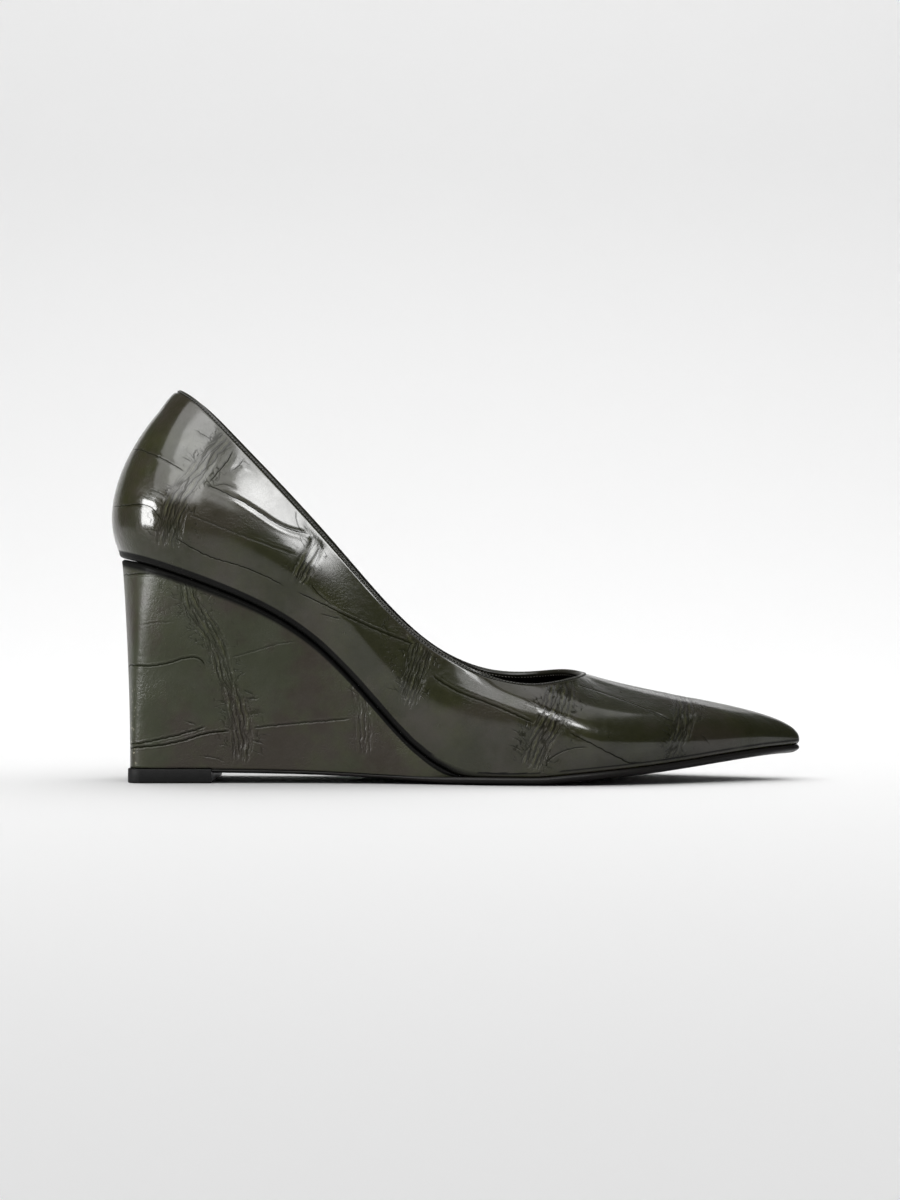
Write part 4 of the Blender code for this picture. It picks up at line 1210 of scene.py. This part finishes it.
def leather_fields(creases, crease_keep, band, band_keep, thirds, before, after):
    """What the leather's material reads from the mesh: a wall's fields with empty rings before and after
    it. The keeps weaken creases and bands near edges, and thirds are whole already."""
    around = crease_keep.shape[1]

    def padded(values, fill=0.0):
        return np.concatenate([np.full(before * around, fill), values, np.full(after * around, fill)])

    fields = {}
    for key, (distance, strength), third in zip(("crease_a", "crease_b"), creases, thirds):
        soft = padded(strength * crease_keep.ravel())
        fields[key] = np.column_stack([padded(distance, FAR), soft, third])
    across, along, strength, twig = band
    keep = band_keep.ravel()
    fields["band"] = np.column_stack([padded(across), padded(along), padded(strength * keep)])
    fields["twig"] = padded(twig * keep)
    return fields


def heel_fold_height(size, grid, below):
    """The soft fold in the collar's edge at the back of the heel."""
    x, y = grid[..., 0], grid[..., 1]
    away = np.abs(y) + HEEL_FOLD_SLANT * np.maximum(x - HEEL_FOLD_BACK * size.length, 0)
    fold = (1 - smooth(HEEL_FOLD_FULL, HEEL_FOLD_END, away)) * (x < HEEL_FOLD_FRONT * size.length)
    fold *= 1 - smooth(HEEL_FOLD_LOW, HEEL_FOLD_LOWEST, below)
    return HEEL_FOLD_HEIGHT * fold * smooth(HEEL_FOLD_TOP, HEEL_FOLD_TOP_FULL, below)


def build_upper(size, hide, colours):
    last = Last(size)
    grid, below = wall_grid(last, UPPER_SIDE_COUNT, UPPER_WALL_COUNT)
    normals = outward_normals(grid)
    marks = Marks(grid, normals)
    creases = [crease_field(marks, UPPER_CREASES, layer, size.length) for layer in (0, 1)]
    band = band_field(marks, UPPER_BANDS, size.length)
    flat_edge = smooth(*UPPER_FADE, below)
    height = relief(hide, creases, band).reshape(below.shape) * flat_edge
    seam = below - hide.stitch_drop
    height -= SEAM_DEPTH * np.exp(-((seam / SEAM_WIDTH) ** 2))
    height += heel_fold_height(size, grid, below)
    wall = grid + normals * height[..., None]
    rim = folded_edge(last, wall, normals)
    under = turned_under(last, UPPER_SIDE_COUNT)
    whole = np.concatenate([under, wall, rim])

    seam_ink = np.exp(-((seam / SEAM_INK_WIDTH) ** 4)) * SEAM_INK
    # Just over the feather edge, and on the turned-under margin behind the forefoot, black is painted as
    # shade at the joint with the wedge
    above = grid[..., 2] - last.over_bed(grid[..., 0], size.feather_radius)
    black = 0.5 * joint_shade_width(size, grid[..., 0])
    wall_ink_and_joint_shade = np.maximum(seam_ink, 1 - smooth(0.5 * black, black, above))
    under_joint_shade = 1 - smooth(*BLACK_TIP, under[..., 0] / size.length)
    rim_ink = np.repeat(np.linspace(0.1, 0.9, len(rim)), grid.shape[1])
    ink_and_joint_shade = np.concatenate([under_joint_shade.ravel(), wall_ink_and_joint_shade.ravel(), rim_ink])
    band_keep = smooth(*BAND_FADE, below)
    thirds = ink_and_joint_shade, np.zeros(len(ink_and_joint_shade))
    fields = leather_fields(creases, flat_edge, band, band_keep, thirds, len(under), len(rim))
    leather = hide_leather("upper_leather", colours, colours.leather, hide, UPPER_FINISH)
    return make_piece("upper_leather", whole, "upper", leather, fields=fields)


def build_lining(size, hide, colours):
    last = Last(size)
    columns = last.wall(last.around(LINING_SIDE_COUNT))
    top = column_lengths(columns) - FOLD_HEIGHT - 0.2 * MM
    grid = climb(columns, np.linspace(0.02, 1, LINING_WALL_COUNT)[:, None] * top[None, :])
    inside = grid - outward_normals(grid) * (wall_thickness(last, grid) + LINING_GAP)[..., None]
    lining = grained("lining", colours.lining, LINING_FINISH)
    return make_piece("lining", inside[::-1], "upper", lining)


def closed_loop(points):
    return np.vstack([points, points[:1]])


def stitch_row(last, hide, name, drop, inside, material):
    """A row of short rounded stitches along the topline, on the wall's outer or inner face."""
    columns = last.wall(last.around(UPPER_SIDE_COUNT))
    at = column_lengths(columns) - drop
    grid = climb(columns, np.vstack([at - STITCH_REACH, at, at + STITCH_REACH]))
    normals = outward_normals(grid)[1]
    line = grid[1]
    if inside:
        line = line - normals * (wall_thickness(last, grid)[1] + INSIDE_LIFT)[:, None]
        normals = -normals
    line, facing = closed_loop(line), closed_loop(normals)
    length = np.concatenate([[0], np.cumsum(np.linalg.norm(np.diff(line, axis=0), axis=1))])

    def on(path, along):
        along %= length[-1]
        return np.array([np.interp(along, length, path[:, k]) for k in range(3)])

    count = round(length[-1] / hide.stitch_pitch)
    angles = np.linspace(0, 2 * np.pi, STITCH_ROUND + 1)[:-1]
    mesh = bmesh.new()
    for number in range(count):
        loops = []
        for step in np.linspace(-1, 1, STITCH_ROUND):
            along = number * length[-1] / count + step * hide.stitch_length / 2
            spot, out = on(line, along), on(facing, along)
            ahead = on(line, along + STITCH_AHEAD) - spot
            side = np.cross(out, ahead / np.linalg.norm(ahead))
            round_off = np.sqrt(1 - (abs(step) * STITCH_TAPER) ** 2)
            centre = spot + out * hide.thread_radius * (STITCH_LIFT * round_off - STITCH_SINK)
            radius = hide.thread_radius * (STITCH_THIN + STITCH_SWELL * round_off)
            ring = [centre + (side * np.cos(a) * STITCH_FLAT + out * np.sin(a)) * radius for a in angles]
            loops.append([mesh.verts.new(corner) for corner in ring])
        for low, high in zip(loops, loops[1:]):
            for i in range(STITCH_ROUND):
                j = (i + 1) % STITCH_ROUND
                mesh.faces.new((low[i], low[j], high[j], high[i]))
        mesh.faces.new(loops[0][::-1])
        mesh.faces.new(loops[-1])
    bmesh.ops.recalc_face_normals(mesh, faces=mesh.faces)
    for vert in mesh.verts:
        vert.co.x += HEEL_X
    return finish_piece(name, smooth_mesh(name, mesh), None, material)


def smooth_mesh(name, mesh):
    data = bpy.data.meshes.new(name)
    mesh.to_mesh(data)
    mesh.free()
    data.shade_smooth()
    return data


def build_stitches(size, hide, colours):
    last = Last(size)
    thread = twisted_thread("thread", colours.thread)
    pale = twisted_thread("lining_thread", colours.lining_thread)
    stitch_row(last, hide, "topline_stitches", hide.stitch_drop, False, thread)
    stitch_row(last, hide, "lining_stitches", hide.stitch_drop + INSIDE_DROP, True, pale)


def closed_plan(outer, inner, count, to_x=None):
    """One ring of plan points whose sides meet at the heel."""
    return np.vstack([resample(outer, count, to_x), resample(inner, count, to_x)[:0:-1]])


def build_wedge(size, hide, colours):
    last = Last(size)
    count = WEDGE_SIDE_COUNT
    foot = closed_plan(*last.foot_sides(), count)
    edge = closed_plan(*last.edge_sides(size.wedge_inset), count, last.wedge_tip)
    inner_edge = closed_plan(*last.edge_sides(size.wedge_inset + size.wedge_edge), count, last.wedge_tip)
    on_top_piece = size.top_piece_height * (foot[:, 0] < last.top_piece_front)
    bottom = np.maximum(last.sole_top(foot[:, 0]), on_top_piece) + size.gap
    top = last.over_bed(edge[:, 0], -size.gap)
    rounding = np.minimum(size.wedge_edge, EDGE_SHARE * np.maximum(top - bottom, 0))
    rings = []
    for level in np.linspace(0, 1, WEDGE_WALL_COUNT):
        plan = edge + (foot - edge) * (1 - level) ** WEDGE_BOW
        rings.append(np.column_stack([plan, bottom + (top - rounding - bottom) * level]))
    grid = np.array(rings)
    normals = outward_normals(grid)
    marks = Marks(grid, normals)
    creases = [crease_field(marks, WEDGE_CREASES, layer, size.length) for layer in (0, 1)]
    band = band_field(marks, WEDGE_BANDS, size.length)
    ends = np.minimum(grid[..., 2] - bottom, top - rounding - grid[..., 2])
    soft_ends = smooth(*WEDGE_FADE, ends)
    height = relief(hide, creases, band).reshape(ends.shape) * soft_ends
    wall = grid + normals * height[..., None]
    shoulder = []
    inner_top = last.over_bed(inner_edge[:, 0], -size.gap)
    low = top - rounding
    for angle in np.linspace(0, np.pi / 2, SHOULDER_COUNT + 1)[1:]:
        plan = inner_edge + (edge - inner_edge) * np.cos(angle)
        shoulder.append(np.column_stack([plan, low + (inner_top - low) * np.sin(angle)]))
    whole = np.concatenate([wall, np.array(shoulder)])

    # The wedge's rounded top edge and a band just under it are painted black as shade under the upper
    shoulder_joint_shade = np.ones(SHOULDER_COUNT * grid.shape[1])
    black = joint_shade_width(size, grid[..., 0])
    top_joint_shade = 1 - smooth(0.6 * black, black, low - grid[..., 2])
    # Light specks at the wedge's back corners: scuffs, and painted glints where light catches them
    from_corner = grid[..., 0] - size.top_piece_back - SCUFF_GLINT_BACK
    scuff_and_glint = np.exp(-((from_corner / SCUFF_GLINT_WIDTH) ** 2))
    scuff_and_glint *= smooth(SCUFF_GLINT_SIDE, SCUFF_GLINT_SIDE_FULL, np.abs(grid[..., 1]))
    scuff_and_glint *= 1 - smooth(SCUFF_GLINT_HIGH, SCUFF_GLINT_HIGHEST, grid[..., 2])
    thirds = (
        np.concatenate([top_joint_shade.ravel(), shoulder_joint_shade]),
        np.concatenate([scuff_and_glint.ravel(), 0 * shoulder_joint_shade]),
    )
    everywhere = np.ones(soft_ends.shape)
    fields = leather_fields(creases, soft_ends, band, everywhere, thirds, 0, SHOULDER_COUNT)
    leather = hide_leather("wedge_leather", colours, colours.wedge, hide, WEDGE_FINISH)
    return make_piece("wedge_leather", whole, "wedge", leather, count, 0, fields)


def build_sock(size, hide, colours):
    last = Last(size)
    rings = []
    for row in SOCK_EDGE:
        plan = last.inset_ring(SOCK_SIDE_COUNT, size.insole_inset + row.inward)
        lift = size.wall + size.gap + row.level * size.insole_thickness - row.drop
        rings.append(np.column_stack([plan, last.over_bed(plan[:, 0], lift)]))
    sock = grained("sock", colours.lining, SOCK_FINISH)
    return make_piece("sock", np.array(rings), "insole", sock, SOCK_SIDE_COUNT, 0)


def build_outsole(size, hide, colours):
    last = Last(size)
    rings = []
    for row in SOLE_EDGE:
        outer, inner = last.sole_sides(row.inset * MM)
        plan = np.vstack([resample(outer, SOLE_SIDE_COUNT), resample(inner, SOLE_SIDE_COUNT)[-2::-1]])
        x = plan[:, 0]
        low, high = last.sole_bottom(x), last.sole_top(x)
        thin = (high - low) / size.sole_thickness
        rings.append(np.column_stack([plan, low + (high - low) * row.level + row.lift * MM * thin]))
    sole = grained("sole_finish", colours.sole, SOLE_FINISH)
    return make_piece("outsole_finish", np.array(rings), "outsole", sole, SOLE_SIDE_COUNT, 1)


def build_top_piece(size, hide, colours):
    mesh = bmesh.new()
    bmesh.ops.create_cube(mesh, size=1)
    low, high = TOP_PIECE_BOX
    for vert in mesh.verts:
        share = vert.co + Vector((0.5, 0.5, 0.5))
        vert.co = Vector(low[k] + share[k] * (high[k] - low[k]) for k in range(3))

    def rise(edge):
        return abs(edge.verts[0].co.z - edge.verts[1].co.z)

    def round_off(edges, radius, count):
        bmesh.ops.bevel(mesh, geom=edges, offset=radius, segments=count, profile=0.5, affect="EDGES")

    back = low.x + 1 * MM
    upright = [edge for edge in mesh.edges if rise(edge) > 1 * MM and edge.verts[0].co.x < back]
    round_off(upright, size.top_piece_corner, TOP_PIECE_CORNER_COUNT)
    rims = [edge for edge in mesh.edges if rise(edge) < 0.001 * MM and edge.calc_face_angle(0) > 0.5]
    round_off(rims, TOP_PIECE_ROUND, TOP_PIECE_RIM_COUNT)
    data = smooth_mesh("top_piece_finish", mesh)
    data.set_sharp_from_angle(angle=np.radians(50))
    rubber = grained("rubber", colours.rubber, RUBBER_FINISH)
    return finish_piece("top_piece_finish", data, "top_piece", rubber)


def area_light(name, place, aim, width, depth, watts, receivers):
    data = bpy.data.lights.new(name, "AREA")
    data.shape = "RECTANGLE"
    data.size, data.size_y = width, depth
    data.energy = watts
    light = bpy.data.objects.new(name, data)
    light.location = place
    light.rotation_euler = (Vector(aim) - Vector(place)).to_track_quat("-Z", "Y").to_euler()
    bpy.context.scene.collection.objects.link(light)
    light.light_linking.receiver_collection = receivers


def from_heel(turn, elevation, distance):
    """A place seen from the heel: turn is in degrees towards the toe from straight in front."""
    turn, elevation = np.radians(turn), np.radians(elevation)
    way = Vector((np.sin(turn) * np.cos(elevation), -np.cos(turn) * np.cos(elevation), np.sin(elevation)))
    return Vector(LIT_PLACE) + way * distance


def build_sweep(colours):
    """The floor, which bends up into the backdrop."""
    bend = SWEEP_BACK - SWEEP_RADIUS
    profile = [(SWEEP_FRONT, 0.0), (bend, 0.0)]
    for angle in np.linspace(0, np.pi / 2, SWEEP_COUNT + 1)[1:]:
        profile.append((bend + SWEEP_RADIUS * np.sin(angle), SWEEP_RADIUS * (1 - np.cos(angle))))
    profile.append((SWEEP_BACK, SWEEP_HEIGHT))
    points = [(x, y, z - SWEEP_DROP) for y, z in profile for x in (-SWEEP_WIDTH / 2, SWEEP_WIDTH / 2)]
    faces = [(2 * k, 2 * k + 1, 2 * k + 3, 2 * k + 2) for k in range(len(profile) - 1)]
    data = bpy.data.meshes.new("studio_sweep")
    data.from_pydata(points, [], faces)
    data.shade_smooth()
    shader = Shader("studio_paper")
    clouds = shader.noise(shader.place(), PAPER_CLOUDS)
    shade = shader.mix(clouds, rgba(colours.floor), rgba(tinted(colours.floor, -0.015)))
    shader.set(base_color=shade, roughness=0.85, specular_ior_level=0.2)
    data.materials.append(shader.material)
    sweep = bpy.data.objects.new("studio_sweep", data)
    bpy.context.scene.collection.objects.link(sweep)
    return sweep


def build_studio(studio, colours):
    sweep = build_sweep(colours)
    on_floor = bpy.data.collections.new("lit_by_floor_lights")
    on_floor.objects.link(sweep)
    on_shoe = bpy.data.collections.new("not_lit_by_front_lights")
    on_shoe.objects.link(sweep)
    on_shoe.collection_objects[0].light_linking.link_state = "EXCLUDE"
    for row in FLAT_LIGHTS:
        lit = on_floor if row.on_floor else on_shoe
        area_light(row.name, row.place, row.aim, row.width, row.depth, getattr(studio, row.power), lit)
    for row in SOFTBOXES:
        place = from_heel(row.turn, row.elevation, row.distance)
        area_light(row.name, place, LIT_PLACE, row.width, row.depth, getattr(studio, row.power), on_shoe)

    world = bpy.data.worlds.new("dark_room")
    world.use_nodes = True
    world.node_tree.nodes["Background"].inputs["Color"].default_value = rgba(studio.room)
    bpy.context.scene.world = world
    bpy.context.scene.view_settings.view_transform = "Standard"

    data = bpy.data.cameras.new("camera")
    data.lens = studio.lens
    data.sensor_width = SENSOR_WIDTH
    camera = bpy.data.objects.new("camera", data)
    camera.location = CAMERA_PLACE
    camera.rotation_euler = (np.pi / 2, 0, 0)
    bpy.context.scene.collection.objects.link(camera)
    bpy.context.scene.camera = camera


class PieceOperator:
    """What the pieces' operators share: build makes the piece from its sizes, the hide's and the colours,
    and not every piece reads the hide's."""

    def execute(self, context):
        scene = context.scene
        self.build(scene.pump_sizes, scene.hide_sizes, scene.pump_colours)
        return {"FINISHED"}


class PUMP_OT_upper(PieceOperator, bpy.types.Operator):
    """Build the upper's creased leather from the feather edge to the folded topline"""

    bl_idname = "pump.upper"
    bl_label = "Upper leather"
    build = staticmethod(build_upper)


class PUMP_OT_lining(PieceOperator, bpy.types.Operator):
    """Build the black lining inside the upper"""

    bl_idname = "pump.lining"
    bl_label = "Lining"
    build = staticmethod(build_lining)


class PUMP_OT_stitches(PieceOperator, bpy.types.Operator):
    """Build the rows of stitches outside and inside the topline"""

    bl_idname = "pump.stitches"
    bl_label = "Stitches"
    build = staticmethod(build_stitches)


class PUMP_OT_wedge(PieceOperator, bpy.types.Operator):
    """Build the wedge's creased leather cover"""

    bl_idname = "pump.wedge"
    bl_label = "Wedge leather"
    build = staticmethod(build_wedge)


class PUMP_OT_sock(PieceOperator, bpy.types.Operator):
    """Build the sock that the foot stands on"""

    bl_idname = "pump.sock"
    bl_label = "Sock"
    build = staticmethod(build_sock)


class PUMP_OT_outsole(PieceOperator, bpy.types.Operator):
    """Build the thin sole with its rounded edge"""

    bl_idname = "pump.outsole"
    bl_label = "Outsole"
    build = staticmethod(build_outsole)


class PUMP_OT_top_piece(PieceOperator, bpy.types.Operator):
    """Build the rubber top piece under the wedge"""

    bl_idname = "pump.top_piece"
    bl_label = "Top piece"
    build = staticmethod(build_top_piece)


class PUMP_OT_studio(bpy.types.Operator):
    """Build the floor, the backdrop, the lights and the camera"""

    bl_idname = "pump.studio"
    bl_label = "Studio"

    def execute(self, context):
        build_studio(context.scene.studio_settings, context.scene.pump_colours)
        return {"FINISHED"}


class PUMP_PT_sidebar(bpy.types.Panel):
    """Lists the pump's pieces with their sizes and colours"""

    bl_idname = "PUMP_PT_sidebar"
    bl_label = "Wedge pump"
    bl_space_type = "VIEW_3D"
    bl_region_type = "UI"
    bl_category = "Wedge pump"

    def draw(self, context):
        for operator in OPERATORS:
            self.layout.operator(operator.bl_idname)
        for name in SETTINGS:
            box = self.layout.box()
            group = getattr(context.scene, name)
            for key in group.bl_rna.properties.keys():
                if key not in ("rna_type", "name"):
                    box.prop(group, key)


OPERATORS = (
    PUMP_OT_studio,
    PUMP_OT_upper,
    PUMP_OT_lining,
    PUMP_OT_stitches,
    PUMP_OT_wedge,
    PUMP_OT_sock,
    PUMP_OT_outsole,
    PUMP_OT_top_piece,
)
SETTINGS = {
    "pump_sizes": PumpSizes,
    "hide_sizes": HideSizes,
    "pump_colours": PumpColours,
    "studio_settings": StudioSettings,
}


def register():
    for group in (*SETTINGS.values(), *OPERATORS, PUMP_PT_sidebar):
        bpy.utils.register_class(group)
    for name, group in SETTINGS.items():
        setattr(bpy.types.Scene, name, bpy.props.PointerProperty(type=group))


def unregister():
    for name in SETTINGS:
        delattr(bpy.types.Scene, name)
    for group in (PUMP_PT_sidebar, *OPERATORS[::-1], *list(SETTINGS.values())[::-1]):
        bpy.utils.unregister_class(group)


def main():
    register()
    bpy.ops.pump.studio()
    bpy.ops.pump.upper()
    bpy.ops.pump.lining()
    bpy.ops.pump.stitches()
    bpy.ops.pump.wedge()
    bpy.ops.pump.sock()
    bpy.ops.pump.outsole()
    bpy.ops.pump.top_piece()
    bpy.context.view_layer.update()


if __name__ == "__main__":
    main()
